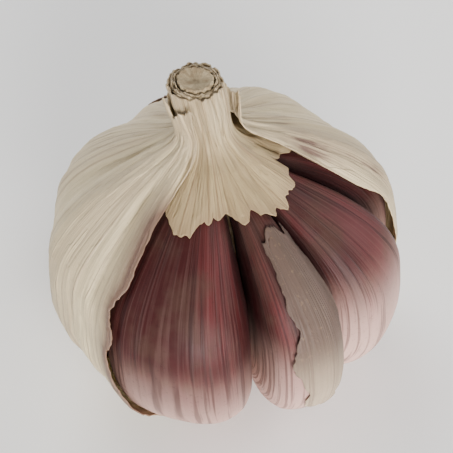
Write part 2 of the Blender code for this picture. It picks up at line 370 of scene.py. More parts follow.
@dataclass(frozen=True)
class BulbForm:
    """The form that all the pieces follow, with the same sizes as the solids have."""

    plate_radius: float
    tip_height: float
    neck_height: float
    bulb_radius: float = 0.0262
    belly_height: float = 0.0172
    neck_lean: float = 0.0050
    lean_height: float = 0.0515
    plate_rim_height: float = 0.0014
    plate_crown_height: float = 0.0044
    stalk_radius: float = 0.0026
    clearance: float = 0.00036
    neck_room: float = 0.0014
    neck_tightness: float = 0.29
    tip_depth: float = 0.0014
    underside_power: float = 0.85
    underside_share: float = 0.4
    shoulder_fullness: float = 3.0
    shoulder_fall: float = 1.45
    flank_power: float = 0.6
    rib_rise: float = 1.2
    cover_turn: float = 0.88
    first_cleft: float = -50.0
    cloves: tuple[CloveSize, ...] = (
        CloveSize(62, 1.080, 0.0),
        CloveSize(34, 1.030, 0.5),
        CloveSize(50, 0.995, 1.2),
        CloveSize(43, 0.970, 2.0),
        CloveSize(45, 0.990, 0.8),
        CloveSize(39, 0.955, 1.6),
        CloveSize(45, 0.985, 1.0),
        CloveSize(42, 0.990, 1.8),
    )

    @classmethod
    def from_frame(cls) -> BulbForm:
        """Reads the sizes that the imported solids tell.

        Returns:
            The form.
        """
        low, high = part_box("stem")
        return cls(
            plate_radius=(high.y - low.y) / 2,
            tip_height=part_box("clove_1")[1].z,
            neck_height=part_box("neck_sheath")[1].z,
        )

    def clefts(self) -> Array:
        """The azimuth of the cleft before each clove, and of the one after the last."""
        shares = np.array([clove.share for clove in self.cloves], float)
        return self.first_cleft + np.concatenate([[0.0], np.cumsum(shares) * 360.0 / shares.sum()])

    def place(self, azimuth: Array, radius: Array, height: Array) -> Array:
        """Places points round the leaning axis.

        Args:
            azimuth: degrees from the front.
            radius: distance from the axis.
            height: height over the table.

        Returns:
            The points, with x, y and z last.
        """
        turn = np.radians(azimuth)
        lean = -self.neck_lean * (np.maximum(height, 0.0) / self.lean_height) ** 2
        parts = np.broadcast_arrays(lean + radius * np.sin(turn), -radius * np.cos(turn), height)
        return np.stack(parts, axis=-1)

    def outline(self, t: Array, fullness: Array = 1.0, drop: Array = 0.0) -> tuple[Array, Array]:
        """Radius and height of a clove's back.

        Args:
            t: 0 at the root plate's rim, underside_share at the belly and 1 at the tip.
            fullness: the bulge there, as a share of the bulb's radius.
            drop: how far the tip is below the highest one.

        Returns:
            The radii and the heights.
        """
        belly = self.bulb_radius * fullness
        low = np.clip(t / self.underside_share, 0.0, 1.0) * (math.pi / 2)
        out = np.sin(low) ** self.underside_power
        down = np.maximum(np.cos(low), 0.0) ** self.underside_power
        foot_height = self.plate_rim_height + self.clearance
        high = np.clip((t - self.underside_share) / (1 - self.underside_share), 0.0, 1.0)
        rise = np.sin(high * (math.pi / 2))
        fall = np.maximum(1.0 - rise**self.shoulder_fullness, 0.0) ** self.shoulder_fall
        tip = self.stalk_radius + self.clearance + self.tip_depth
        below = t < self.underside_share
        radius = np.where(
            below, self.plate_radius + (belly - self.plate_radius) * out, tip + (belly - tip) * fall
        )
        height = np.where(
            below,
            self.belly_height - (self.belly_height - foot_height) * down,
            self.belly_height + (self.tip_height - drop - self.belly_height) * rise,
        )
        return radius, height

    def outline_beyond(self, t: Array, offset: Array, fullness: Array) -> tuple[Array, Array]:
        """The outline, moved outwards along its normal.

        Args:
            t: the place on the outline.
            offset: how far outside it the result lies.
            fullness: the bulge there, as a share of the bulb's radius.

        Returns:
            The radii and the heights.
        """
        step = 1e-3
        lower = self.outline(np.maximum(t - step, 0.0), fullness)
        upper = self.outline(np.minimum(t + step, 1.0), fullness)
        across, up = upper[0] - lower[0], upper[1] - lower[1]
        length = np.hypot(across, up)
        radius, height = self.outline(t, fullness)
        return radius + offset * up / length, height - offset * across / length

    def neck_curve(self, share: Array, fullness: Array) -> tuple[Array, Array]:
        """The neck's inner face, which goes on from the outline with the same slope.

        Args:
            share: 0 at cover_turn and 1 at the cut end.
            fullness: the bulge below it, as a share of the bulb's radius.

        Returns:
            The radii and the heights.
        """
        turn = np.full_like(fullness, self.cover_turn)
        radius, height = self.outline_beyond(turn, self.clearance, fullness)
        below = self.outline_beyond(turn - 0.01, self.clearance, fullness)
        slope = (radius - below[0]) / (height - below[1])
        rise = self.neck_height - height
        cut_radius = self.stalk_radius + self.neck_room
        steepness = -slope * rise / (radius - cut_radius)
        power = self.neck_tightness * steepness
        narrowing = (1 + (power - steepness) * share) * np.maximum(1 - share, 0.0) ** power
        return cut_radius + (radius - cut_radius) * narrowing, height + rise * share

    def neck_beyond(self, share: Array, offset: Array, fullness: Array) -> tuple[Array, Array]:
        """The neck's inner face, moved outwards along its normal.

        Args:
            share: 0 at cover_turn and 1 at the cut end.
            offset: how far outside it the result lies.
            fullness: the bulge below it, as a share of the bulb's radius.

        Returns:
            The radii and the heights.
        """
        lower = self.neck_curve(share, fullness)
        upper = self.neck_curve(share + 1e-3, fullness)
        across, up = upper[0] - lower[0], upper[1] - lower[1]
        length = np.hypot(across, up)
        return lower[0] + offset * up / length, lower[1] - offset * across / length

    def across_clove(self, azimuth: Array) -> tuple[Array, Array]:
        """Finds the cloves at some azimuths.

        Args:
            azimuth: degrees from the front.

        Returns:
            The clove's number, and how far across it each azimuth is, from -1 to 1.
        """
        edges = self.clefts()
        turned = (azimuth - edges[0]) % 360.0 + edges[0]
        index = np.clip(np.searchsorted(edges, turned, side="right") - 1, 0, len(self.cloves) - 1)
        side = 2.0 * (turned - edges[index]) / (edges[index + 1] - edges[index]) - 1.0
        return index, side

    def fullness_at(self, azimuth: Array) -> Array:
        """The bulge of what covers the cloves, which passes evenly from one clove's to the next one's.

        Args:
            azimuth: degrees from the front.

        Returns:
            The bulge, as a share of the bulb's radius.
        """
        index, side = self.across_clove(azimuth)
        fullness = np.array([clove.fullness for clove in self.cloves])
        neighbour = fullness[(index + np.where(side > 0, 1, -1)) % len(self.cloves)]
        share = np.sin(math.pi / 4 * np.abs(side)) ** 2
        return fullness[index] * (1 - share) + neighbour * share

    def recess(self, azimuth: Array, t: Array) -> Array:
        """How far the cloves' backs lie under the cover's outline.

        Args:
            azimuth: degrees from the front.
            t: the place on the outline.

        Returns:
            A distance for each point, 0 or more.
        """
        index, side = self.across_clove(azimuth)
        fullness = np.array([clove.fullness for clove in self.cloves])[index]
        back = self.outline(t, fullness)[0]
        rib = self.stalk_radius + self.clearance
        sine = np.minimum(np.abs(side), 1.0) ** (1.0 / self.flank_power)
        radius = (back + rib) / 2 + (back - rib) / 2 * np.sqrt(1.0 - sine**2)
        return np.maximum(self.outline(t, self.fullness_at(azimuth))[0] - radius, 0.0)

    def clove_surface(self, index: int, t: Array, turn: Array) -> Array:
        """Points of a clove.

        Args:
            index: which clove it is.
            t: the place on the outline.
            turn: 0 degrees on the middle of its back and 180 on its inner rib.

        Returns:
            The points, with x, y and z last.
        """
        clove = self.cloves[index]
        before, after = self.clefts()[index : index + 2]
        back_radius, back_height = self.outline(t, clove.fullness, clove.drop_mm * MM)
        rib_radius = self.stalk_radius + self.clearance
        rib_foot = self.plate_crown_height
        rib_top = self.tip_height - clove.drop_mm * MM
        rib_height = rib_foot + (rib_top - rib_foot) * t**self.rib_rise
        outward = np.cos(np.radians(turn))
        radius = (back_radius + rib_radius) / 2 + (back_radius - rib_radius) / 2 * outward
        height = (back_height + rib_height) / 2 + (back_height - rib_height) / 2 * outward
        half = (after - before) / 2 - np.degrees(self.clearance / 2 / radius)
        sine = np.sin(np.radians(turn))
        sideways = np.sign(sine) * np.abs(sine) ** self.flank_power
        return self.place((before + after) / 2 + half * sideways, radius, height)


# ---------------------------------------------------------------- shader building


class NodeWeb:
    """Adds nodes to a tree and links them."""

    def __init__(self, tree: bpy.types.NodeTree) -> None:
        """A web on that tree."""
        self.tree = tree

    def add(self, kind: str, **settings: object) -> bpy.types.Node:
        """A new node.

        Args:
            kind: the node's type.
            **settings: its properties.

        Returns:
            The node.
        """
        node = self.tree.nodes.new(kind)
        for name, value in settings.items():
            setattr(node, name, value)
        return node

    def feed(self, target: Socket, source: Socket | float | Colour) -> None:
        """Links an input to a socket, or sets it to a value.

        Args:
            target: the input.
            source: a socket, a number or a colour.
        """
        if isinstance(source, bpy.types.NodeSocket):
            self.tree.links.new(source, target)
        elif isinstance(source, tuple) and target.type == "RGBA":
            target.default_value = (*source, 1.0)
        else:
            target.default_value = source

    def math(self, operation: str, first: Socket | float, second: Socket | float = 0.0) -> Socket:
        """A Math node.

        Args:
            operation: what it does.
            first: its first input.
            second: its second input.

        Returns:
            Its result.
        """
        node = self.add("ShaderNodeMath", operation=operation)
        self.feed(node.inputs[0], first)
        self.feed(node.inputs[1], second)
        return node.outputs[0]

    def mix(self, factor: Socket | float, first: Socket | Colour, second: Socket | Colour) -> Socket:
        """A colour between two colours.

        Args:
            factor: how far it is towards the second.
            first: one colour.
            second: the other colour.

        Returns:
            The mixed colour.
        """
        node = self.add("ShaderNodeMix", data_type="RGBA")
        self.feed(node.inputs["Factor"], factor)
        self.feed(node.inputs[6], first)
        self.feed(node.inputs[7], second)
        return node.outputs[2]

    def ramp(self, value: Socket, low: float, high: float, start: float = 0.0, end: float = 1.0) -> Socket:
        """A value, taken smoothly from one span over to another.

        Args:
            value: the value.
            low: where the first span starts.
            high: where it ends.
            start: what low becomes.
            end: what high becomes.

        Returns:
            The value in the new span.
        """
        node = self.add("ShaderNodeMapRange", interpolation_type="SMOOTHSTEP")
        for name, number in zip(("From Min", "From Max", "To Min", "To Max"), (low, high, start, end)):
            node.inputs[name].default_value = number
        self.feed(node.inputs["Value"], value)
        return node.outputs["Result"]

    def vector(self, *parts: Socket | float) -> Socket:
        """A vector made of up to three numbers.

        Args:
            *parts: x, y and z.

        Returns:
            The vector.
        """
        node = self.add("ShaderNodeCombineXYZ")
        for socket, part in zip(node.inputs, parts):
            self.feed(socket, part)
        return node.outputs[0]

    def split(self, vector: Socket) -> Sockets:
        """The three numbers of a vector.

        Args:
            vector: the vector.

        Returns:
            Sockets for x, y and z.
        """
        node = self.add("ShaderNodeSeparateXYZ")
        self.feed(node.inputs[0], vector)
        return node.outputs

    def marks(self) -> Sockets:
        """The three numbers that a surface carries, for a finish."""
        return self.split(self.add("ShaderNodeAttribute", attribute_name="marks").outputs["Vector"])

    def group(self, tree: bpy.types.NodeTree, **values: float) -> Socket:
        """Places a shader node group.

        Args:
            tree: the group.
            **values: its inputs, by name, in small letters.

        Returns:
            Its first output.
        """
        node = self.add("ShaderNodeGroup", node_tree=tree)
        for name, value in values.items():
            self.feed(node.inputs[name.capitalize()], value)
        return node.outputs[0]

    def step(self, kind: str, first: Socket, **values: object) -> Socket:
        """Places a node that makes or changes a geometry.

        Args:
            kind: the node's type.
            first: its first input, which is mostly the geometry that it changes.
            **values: its other inputs, by name, in small letters.

        Returns:
            Its geometry.
        """
        node = self.add(kind)
        self.feed(node.inputs[0], first)
        for name, value in values.items():
            self.feed(node.inputs[name.capitalize()], value)
        return node.outputs[0]


def open_tree(name: str, inputs: dict[str, float]) -> tuple[NodeWeb, Sockets, Socket]:
    """Starts a Geometry Nodes tree that makes a mesh.

    Args:
        name: its name.
        inputs: each input's name and default value, where a whole number makes a whole-number input.

    Returns:
        The tree's web, its inputs and the socket for its result.
    """
    tree = bpy.data.node_groups.new(name, "GeometryNodeTree")
    for label, value in inputs.items():
        kind = "NodeSocketInt" if isinstance(value, int) else "NodeSocketFloat"
        tree.interface.new_socket(label, in_out="INPUT", socket_type=kind).default_value = value
    tree.interface.new_socket("Geometry", in_out="OUTPUT", socket_type="NodeSocketGeometry")
    web = NodeWeb(tree)
    return web, web.add("NodeGroupInput").outputs, web.add("NodeGroupOutput").inputs[0]


def new_group(name: str, inputs: dict[str, float]) -> tuple[NodeWeb, bpy.types.Node, bpy.types.Node]:
    """A shader node group with number inputs and one output called Mask.

    Args:
        name: the group's name.
        inputs: each input's name and default value.

    Returns:
        The group's web, its input node and its output node.
    """
    tree = bpy.data.node_groups.new(name, "ShaderNodeTree")
    for label, value in inputs.items():
        socket = tree.interface.new_socket(label, in_out="INPUT", socket_type="NodeSocketFloat")
        socket.default_value = value
    tree.interface.new_socket("Mask", in_out="OUTPUT", socket_type="NodeSocketFloat")
    web = NodeWeb(tree)
    return web, web.add("NodeGroupInput"), web.add("NodeGroupOutput")


def mask_from_noise(web: NodeWeb, source: bpy.types.Node, sink: bpy.types.Node, vector: Socket) -> None:
    """Ends a group with noise over a vector, cut between its Low and High inputs.

    Args:
        web: the group's web.
        source: its input node.
        sink: its output node.
        vector: where the noise is read.
    """
    texture = web.add("ShaderNodeTexNoise", noise_dimensions="3D")
    texture.inputs["Scale"].default_value = 1.0
    texture.inputs["Detail"].default_value = 3.0
    texture.inputs["Roughness"].default_value = 0.6
    web.feed(texture.inputs["Vector"], vector)
    cut = web.add("ShaderNodeMapRange", interpolation_type="SMOOTHSTEP")
    web.feed(cut.inputs["Value"], texture.outputs["Fac"])
    web.feed(cut.inputs["From Min"], source.outputs["Low"])
    web.feed(cut.inputs["From Max"], source.outputs["High"])
    web.feed(sink.inputs["Mask"], cut.outputs["Result"])


def streak_group() -> bpy.types.NodeTree:
    """Streaks along the growth of a skin: Width in millimetres, and Length as a multiple of it.

    Returns:
        The group.
    """
    web, source, sink = new_group(
        "Growth streaks", {"Width": 1.0, "Length": 20.0, "Low": 0.4, "High": 0.6, "Seed": 0.0}
    )
    grain = web.split(web.add("ShaderNodeAttribute", attribute_name="grain").outputs["Vector"])
    width = source.outputs["Width"]
    across = [web.math("DIVIDE", grain[axis], width) for axis in range(2)]
    along = web.math("DIVIDE", grain[2], web.math("MULTIPLY", width, source.outputs["Length"]))
    vector = web.vector(*across, web.math("ADD", along, source.outputs["Seed"]))
    mask_from_noise(web, source, sink, vector)
    return web.tree


def blotch_group() -> bpy.types.NodeTree:
    """Blotches of that Size in millimetres, which follow the object's own space.

    Returns:
        The group.
    """
    web, source, sink = new_group("Blotches", {"Size": 6.0, "Low": 0.4, "High": 0.6, "Seed": 0.0})
    space = web.add("ShaderNodeTexCoord")
    scale = web.add("ShaderNodeVectorMath", operation="SCALE")
    web.feed(scale.inputs[0], space.outputs["Object"])
    web.feed(scale.inputs["Scale"], web.math("DIVIDE", 1000.0, source.outputs["Size"]))
    shift = web.add("ShaderNodeVectorMath", operation="ADD")
    web.feed(shift.inputs[0], scale.outputs[0])
    web.feed(shift.inputs[1], web.vector(0.0, 0.0, source.outputs["Seed"]))
    mask_from_noise(web, source, sink, shift.outputs[0])
    return web.tree


@dataclass(frozen=True)
class Effects:
    """The shader node groups that the finishes share."""

    streaks: bpy.types.NodeTree
    blotches: bpy.types.NodeTree

    @classmethod
    def build(cls) -> Effects:
        """Builds each group once."""
        return cls(streak_group(), blotch_group())


def start_material(name: str) -> tuple[bpy.types.Material, NodeWeb, bpy.types.Node]:
    """Starts a material.

    Args:
        name: its name.

    Returns:
        The material, its web and its Principled shader.
    """
    material = bpy.data.materials.new(name)
    material.use_nodes = True
    return material, NodeWeb(material.node_tree), material.node_tree.nodes["Principled BSDF"]


def add_bump(web: NodeWeb, shader: bpy.types.Node, height: Socket, depth_mm: float) -> None:
    """Lets a height between 0 and 1 stand for relief.

    Args:
        web: the material's web.
        shader: its Principled shader.
        height: the height.
        depth_mm: how deep the relief is.
    """
    bump = web.add("ShaderNodeBump")
    bump.inputs["Strength"].default_value = 1.0
    bump.inputs["Distance"].default_value = depth_mm * MM
    web.feed(bump.inputs["Height"], height)
    web.feed(shader.inputs["Normal"], bump.outputs["Normal"])


@dataclass(frozen=True)
class CloveSkin:
    """Taut purple skin of a clove. Its marks are: along the clove, across it, and which clove it is."""

    name: str = "clove_skin"
    dusk: Colour = (0.032, 0.006, 0.006)
    # wine: dark streaks and specks, and the painted shade in the clefts
    wine_and_cleft_shade: Colour = (0.012, 0.002, 0.003)
    rose: Colour = (0.088, 0.015, 0.016)
    # cream: the pale hair streaks, and the pale foot, which is partly a painted highlight
    cream_and_painted_highlight: Colour = (0.640, 0.410, 0.350)
    # film: brownish patches of skin film, and the darker upper part, which is partly painted shade
    film_and_top_shade: Colour = (0.046, 0.022, 0.015)
    roughness: float = 0.45
    specular: float = 0.18
    lit_foot_shift: float = 0.06

    def build(self, effects: Effects) -> bpy.types.Material:
        """Builds the material.

        Args:
            effects: the groups that the finishes share.

        Returns:
            The finished material.
        """
        material, web, shader = start_material(self.name)
        marks = web.marks()
        along, across = marks[0], web.math("ABSOLUTE", marks[1])
        broad = web.group(effects.streaks, width=3.6, length=6.0, low=0.36, high=0.66, seed=3.0)
        fine = web.group(effects.streaks, width=0.60, length=26.0, low=0.50, high=0.62, seed=9.0)
        hair = web.group(effects.streaks, width=0.22, length=70.0, low=0.42, high=0.66, seed=21.0)
        patch = web.group(effects.blotches, size=7.0, low=0.45, high=0.68, seed=2.0)
        speck = web.group(effects.blotches, size=0.5, low=0.55, high=0.75, seed=5.0)
        colour = web.mix(web.math("MULTIPLY", broad, 0.8), self.dusk, self.rose)
        colour = web.mix(web.math("MULTIPLY", patch, 0.60), colour, self.film_and_top_shade)
        colour = web.mix(web.math("MULTIPLY", fine, 0.50), colour, self.wine_and_cleft_shade)
        # Painted shade: each clove darkens towards its flanks, where the clefts between the cloves are.
        colour = web.mix(web.ramp(across, 0.55, 1.0, 0.0, 0.6), colour, self.wine_and_cleft_shade)
        # Pale foot: each clove turns cream towards its foot. This is partly the skin's own paler base and
        # partly a painted highlight on the lower belly. It starts a little higher or lower from clove to
        # clove.
        turn = web.math("SUBTRACT", web.math("MULTIPLY", marks[2], 1.2), 1.0)
        lit_foot_offset = web.math("MULTIPLY", web.math("SINE", turn), self.lit_foot_shift)
        foot = web.ramp(web.math("SUBTRACT", along, lit_foot_offset), 0.54, 0.21, 0.0, 0.92)
        foot = web.math("MULTIPLY", foot, web.math("SUBTRACT", 1.0, web.math("MULTIPLY", fine, 0.55)))
        colour = web.mix(foot, colour, self.cream_and_painted_highlight)
        # Darker and browner towards the tip: partly the skin's own browner tip and partly painted shade on
        # the upper part of each clove.
        colour = web.mix(web.ramp(along, 0.68, 0.95, 0.0, 0.75), colour, self.film_and_top_shade)
        colour = web.mix(web.math("MULTIPLY", hair, 0.035), colour, self.cream_and_painted_highlight)
        colour = web.mix(web.math("MULTIPLY", speck, 0.25), colour, self.wine_and_cleft_shade)
        web.feed(shader.inputs["Base Color"], colour)
        gloss = web.math("ADD", self.roughness, web.math("MULTIPLY", patch, 0.14))
        web.feed(shader.inputs["Roughness"], web.math("ADD", gloss, web.math("MULTIPLY", hair, 0.08)))
        shader.inputs["Specular IOR Level"].default_value = self.specular
        relief = web.math("ADD", web.math("MULTIPLY", fine, 0.6), web.math("MULTIPLY", hair, 0.4))
        add_bump(web, shader, relief, 0.05)
        return material


@dataclass(frozen=True)
class PaperSkin:
    """Dry papery skin. Its marks are: nearness to a torn edge, cling to the cloves, and the way up it."""

    name: str
    sheet: Colour = (0.740, 0.605, 0.360)
    # upper: on the wrappers a darker, slightly yellower top, which is painted shade
    upper: Colour = (0.520, 0.410, 0.245)
    upper_span: tuple[float, float] = (0.52, 0.98)
    vein: Colour = (0.400, 0.290, 0.190)
    blush: Colour = (0.085, 0.028, 0.024)
    stain: Colour = (0.270, 0.175, 0.095)
    vein_share: float = 0.62
    flaked_share: float = 0.14
    blush_share: float = 0.85
    edge_stain: float = 0.22
    foot_stain: float = 0.25
    roughness: float = 0.50
    glow: float = 0.15
    glow_depth: float = 0.0008

    def build(self, effects: Effects) -> bpy.types.Material:
        """Builds the material.

        Args:
            effects: the groups that the finishes share.

        Returns:
            The finished material.
        """
        material, web, shader = start_material(self.name)
        edge, cling, way = web.marks()
        vein = web.group(effects.streaks, width=0.75, length=70.0, low=0.54, high=0.64, seed=4.0)
        broad = web.group(effects.streaks, width=3.2, length=14.0, low=0.35, high=0.70, seed=44.0)
        fibre = web.group(effects.streaks, width=0.22, length=60.0, low=0.38, high=0.66, seed=14.0)
        flush = web.group(effects.streaks, width=1.9, length=16.0, low=0.50, high=0.68, seed=31.0)
        flaked = web.group(effects.streaks, width=5.5, length=5.0, low=0.535, high=0.55, seed=52.0)
        patch = web.group(effects.blotches, size=8.0, low=0.40, high=0.66, seed=8.0)
        speck = web.group(effects.blotches, size=0.7, low=0.60, high=0.72, seed=6.0)
        # The upper colour over the upper span. On the wrappers it is a darker, slightly yellower top that is
        # painted shade. On the clinging film it is a dark top, partly the clove showing through and partly
        # painted shade. On the neck it is a paler top, the neck's own colour.
        colour = web.mix(web.ramp(way, *self.upper_span), self.sheet, self.upper)
        colour = web.mix(web.math("MULTIPLY", broad, self.vein_share * 0.40), colour, self.vein)
        colour = web.mix(web.math("MULTIPLY", fibre, self.vein_share * 0.30), colour, self.vein)
        colour = web.mix(web.math("MULTIPLY", vein, self.vein_share), colour, self.vein)
        colour = web.mix(web.math("MULTIPLY", flaked, self.flaked_share), colour, self.vein)
        streaky = web.math("ADD", 0.34, web.math("MULTIPLY", web.math("MULTIPLY", flush, patch), 0.60))
        through = web.math("MULTIPLY", cling, streaky)
        through = web.math("MINIMUM", web.math("MULTIPLY", through, self.blush_share), 0.90)
        colour = web.mix(through, colour, self.blush)
        foot = web.math("MULTIPLY", web.ramp(way, 0.10, 0.0), self.foot_stain)
        dirt = web.math("ADD", foot, web.math("MULTIPLY", edge, self.edge_stain))
        colour = web.mix(web.math("MINIMUM", dirt, 0.85), colour, self.stain)
        colour = web.mix(web.math("MULTIPLY", speck, 0.25), colour, self.stain)
        web.feed(shader.inputs["Base Color"], colour)
        gloss = web.math("ADD", self.roughness, web.math("MULTIPLY", fibre, 0.12))
        web.feed(shader.inputs["Roughness"], gloss)
        shader.inputs["Subsurface Weight"].default_value = self.glow
        shader.inputs["Subsurface Radius"].default_value = (1.0, 0.94, 0.86)
        shader.inputs["Subsurface Scale"].default_value = self.glow_depth
        relief = web.math("ADD", web.math("MULTIPLY", vein, 0.45), web.math("MULTIPLY", fibre, 0.30))
        relief = web.math("SUBTRACT", relief, web.math("MULTIPLY", flaked, 5.0 * self.flaked_share))
        add_bump(web, shader, relief, 0.17)
        return material


@dataclass(frozen=True)
class DryPlant:
    """Cork, fibre and pith of the root plate, the roots and the stalk."""

    name: str
    light: Colour
    dark: Colour
    streaky: bool
    roughness: float = 0.85

    def build(self, effects: Effects) -> bpy.types.Material:
        """Builds the material.

        Args:
            effects: the groups that the finishes share.

        Returns:
            The finished material.
        """
        material, web, shader = start_material(self.name)
        patch = web.group(effects.blotches, size=1.6, low=0.38, high=0.64, seed=11.0)
        speck = web.group(effects.blotches, size=0.35, low=0.45, high=0.65, seed=12.0)
        height = speck
        if self.streaky:
            height = web.group(effects.streaks, width=0.35, length=40.0, low=0.35, high=0.68, seed=15.0)
        colour = web.mix(web.math("MULTIPLY", patch, 0.8), self.light, self.dark)
        colour = web.mix(web.math("MULTIPLY", height, 0.55), colour, self.dark)
        web.feed(shader.inputs["Base Color"], colour)
        gloss = web.math("ADD", self.roughness, web.math("MULTIPLY", speck, 0.1))
        web.feed(shader.inputs["Roughness"], gloss)
        add_bump(web, shader, height, 0.12)
        return material


# ---------------------------------------------------------------- cloves


class FieldMath:
    """Writes formulas on the points of a Geometry Nodes tree."""

    def __init__(self, web: NodeWeb) -> None:
        """Formulas whose nodes go in that web."""
        self.web = web

    def add(self, *terms: Socket | float) -> Socket:
        """Adds terms.

        Args:
            *terms: two or more.

        Returns:
            Their sum.
        """
        total = terms[0]
        for term in terms[1:]:
            total = self.web.math("ADD", total, term)
        return total

    def times(self, *factors: Socket | float) -> Socket:
        """Multiplies factors.

        Args:
            *factors: two or more.

        Returns:
            Their product.
        """
        product = factors[0]
        for factor in factors[1:]:
            product = self.web.math("MULTIPLY", product, factor)
        return product

    def less(self, first: Socket | float, second: Socket | float) -> Socket:
        """first without second."""
        return self.web.math("SUBTRACT", first, second)

    def power(self, base: Socket, exponent: float) -> Socket:
        """base, kept at 0 or more, to that power."""
        return self.web.math("POWER", self.web.math("MAXIMUM", base, 0.0), exponent)

    def share(self, value: Socket, low: float, high: float) -> Socket:
        """How far a value is along a span.

        Args:
            value: the value.
            low: where the span starts.
            high: where it ends.

        Returns:
            Its place, kept from 0 to 1.
        """
        part = self.web.math("DIVIDE", self.less(value, low), high - low)
        part.node.use_clamp = True
        return part

    def noise(self, vector: Socket, scale: float, detail: float, seed: Socket | float) -> Socket:
        """Noise in four dimensions, so that a seed can move it.

        Args:
            vector: where it is read.
            scale: how fine it is.
            detail: how many finer layers it has.
            seed: which noise it is.

        Returns:
            A number from about -1 to 1.
        """
        node = self.web.add("ShaderNodeTexNoise", noise_dimensions="4D")
        node.inputs["Scale"].default_value = scale
        node.inputs["Detail"].default_value = detail
        self.web.feed(node.inputs["Vector"], vector)
        self.web.feed(node.inputs["W"], seed)
        return self.less(self.times(node.outputs["Fac"], 2.0), 1.0)


@dataclass(frozen=True)
class CloveWhorl:
    """The cloves, each one a closed body with faint ribs, dents and a puckered tip and foot."""

    form: BulbForm
    material: bpy.types.Material
    rows: int = 130
    columns: int = 132
    dent_mm: float = 0.36
    dent_size_mm: float = 9.0
    rib_mm: float = 0.13
    vein_mm: float = 0.04
    pucker_mm: float = 0.16
    grain_step_mm: float = 57.0

    def tree(self) -> bpy.types.NodeTree:
        """The Geometry Nodes tree that bends a capped tube to a clove's form.

        Its inputs are the clove's place in the turn, its fullness and drop, and the sizes of its relief.

        Returns:
            The tree.
        """
        inputs = {
            "Rows": self.rows,
            "Columns": self.columns,
            "Number": 0,
            "Before": 0.0,
            "After": 1.0,
            "Fullness": 1.0,
            "Drop": 0.0,
            "Dent depth": self.dent_mm,
            "Rib height": self.rib_mm,
            "Vein height": self.vein_mm,
            "Pucker height": self.pucker_mm,
        }
        web, source, result = open_tree("Clove form", inputs)

        tube = web.add("GeometryNodeMeshCylinder", fill_type="TRIANGLE_FAN")
        tube.inputs["Radius"].default_value = 1.0
        tube.inputs["Depth"].default_value = 1.0
        web.feed(tube.inputs["Vertices"], source["Columns"])
        web.feed(tube.inputs["Side Segments"], source["Rows"])
        marked = self.store_marks(web, source, tube.outputs["Mesh"])
        formed = web.step("GeometryNodeSetPosition", marked, position=self.formed_place(web, source))
        outwards = web.step("GeometryNodeFlipFaces", formed)
        carved = web.step("GeometryNodeSetPosition", outwards, offset=self.relief(web, source))
        smooth = web.step("GeometryNodeSetShadeSmooth", carved)
        web.feed(result, web.step("GeometryNodeSetMaterial", smooth, material=self.material))
        return web.tree

    def tube_place(self, web: NodeWeb) -> tuple[Socket, Socket, Socket]:
        """Where a point is on the plain tube, whose rows lie closer together near its ends.

        Args:
            web: the tree's web.

        Returns:
            Its places sideways and outward from -1 to 1, and along the tube from 0 to 1.
        """
        field_math = FieldMath(web)
        sideways, outward, up = web.split(web.add("GeometryNodeInputPosition").outputs[0])
        share = field_math.add(up, 0.5)
        eased = field_math.less(1.0, web.math("COSINE", field_math.times(share, math.pi)))
        evenly = 0.65
        along = field_math.add(field_math.times(share, evenly), field_math.times(eased, (1.0 - evenly) / 2))
        return sideways, outward, along

    def store_marks(self, web: NodeWeb, source: Sockets, geometry: Socket) -> Socket:
        """Stores grain and marks, which the skin's finish and the relief read.

        Args:
            web: the tree's web.
            source: the tree's inputs.
            geometry: the plain tube.

        Returns:
            The tube with both attributes.
        """
        field_math = FieldMath(web)
        sideways, outward, along = self.tube_place(web)
        own_place = field_math.times(source["Number"], self.grain_step_mm)
        height = field_math.add(field_math.times(along, CLOVE_WAY_MM), own_place)
        around = [field_math.times(place, CLOVE_ROUND_MM) for place in (sideways, outward)]
        values = {
            "grain": web.vector(*around, height),
            "marks": web.vector(along, sideways, source["Number"]),
        }
        for name, value in values.items():
            store = web.add("GeometryNodeStoreNamedAttribute", data_type="FLOAT_VECTOR", domain="POINT")
            store.inputs["Name"].default_value = name
            web.feed(store.inputs["Geometry"], geometry)
            web.feed(store.inputs["Value"], value)
            geometry = store.outputs["Geometry"]
        return geometry

    def formed_place(self, web: NodeWeb, source: Sockets) -> Socket:
        """A point's place on the clove, whose back follows the outline and whose rib follows the stalk.

        Args:
            web: the tree's web.
            source: the tree's inputs.

        Returns:
            The place.
        """
        form, field_math = self.form, FieldMath(web)
        add, times, less = field_math.add, field_math.times, field_math.less
        sideways, outward, along = self.tube_place(web)
        low = times(field_math.share(along, 0.0, form.underside_share), math.pi / 2)
        high = times(field_math.share(along, form.underside_share, 1.0), math.pi / 2)
        rise = web.math("SINE", high)
        fall = field_math.power(less(1.0, field_math.power(rise, form.shoulder_fullness)), form.shoulder_fall)
        belly = times(source["Fullness"], form.bulb_radius)
        out = field_math.power(web.math("SINE", low), form.underside_power)
        tip = form.stalk_radius + form.clearance + form.tip_depth
        back_radius = add(
            times(less(belly, form.plate_radius), out),
            times(less(tip, belly), less(1.0, fall)),
            form.plate_radius,
        )
        foot = form.plate_rim_height + form.clearance
        down = field_math.power(web.math("COSINE", low), form.underside_power)
        top = less(form.tip_height, source["Drop"])
        back_height = add(
            times(down, foot - form.belly_height),
            times(less(top, form.belly_height), rise),
            form.belly_height,
        )
        rib_radius = form.stalk_radius + form.clearance
        climb = field_math.power(along, form.rib_rise)
        rib_height = add(times(less(top, form.plate_crown_height), climb), form.plate_crown_height)
        toward_back = times(add(outward, 1.0), 0.5)
        radius = add(times(less(back_radius, rib_radius), toward_back), rib_radius)
        height = add(times(less(back_height, rib_height), toward_back), rib_height)

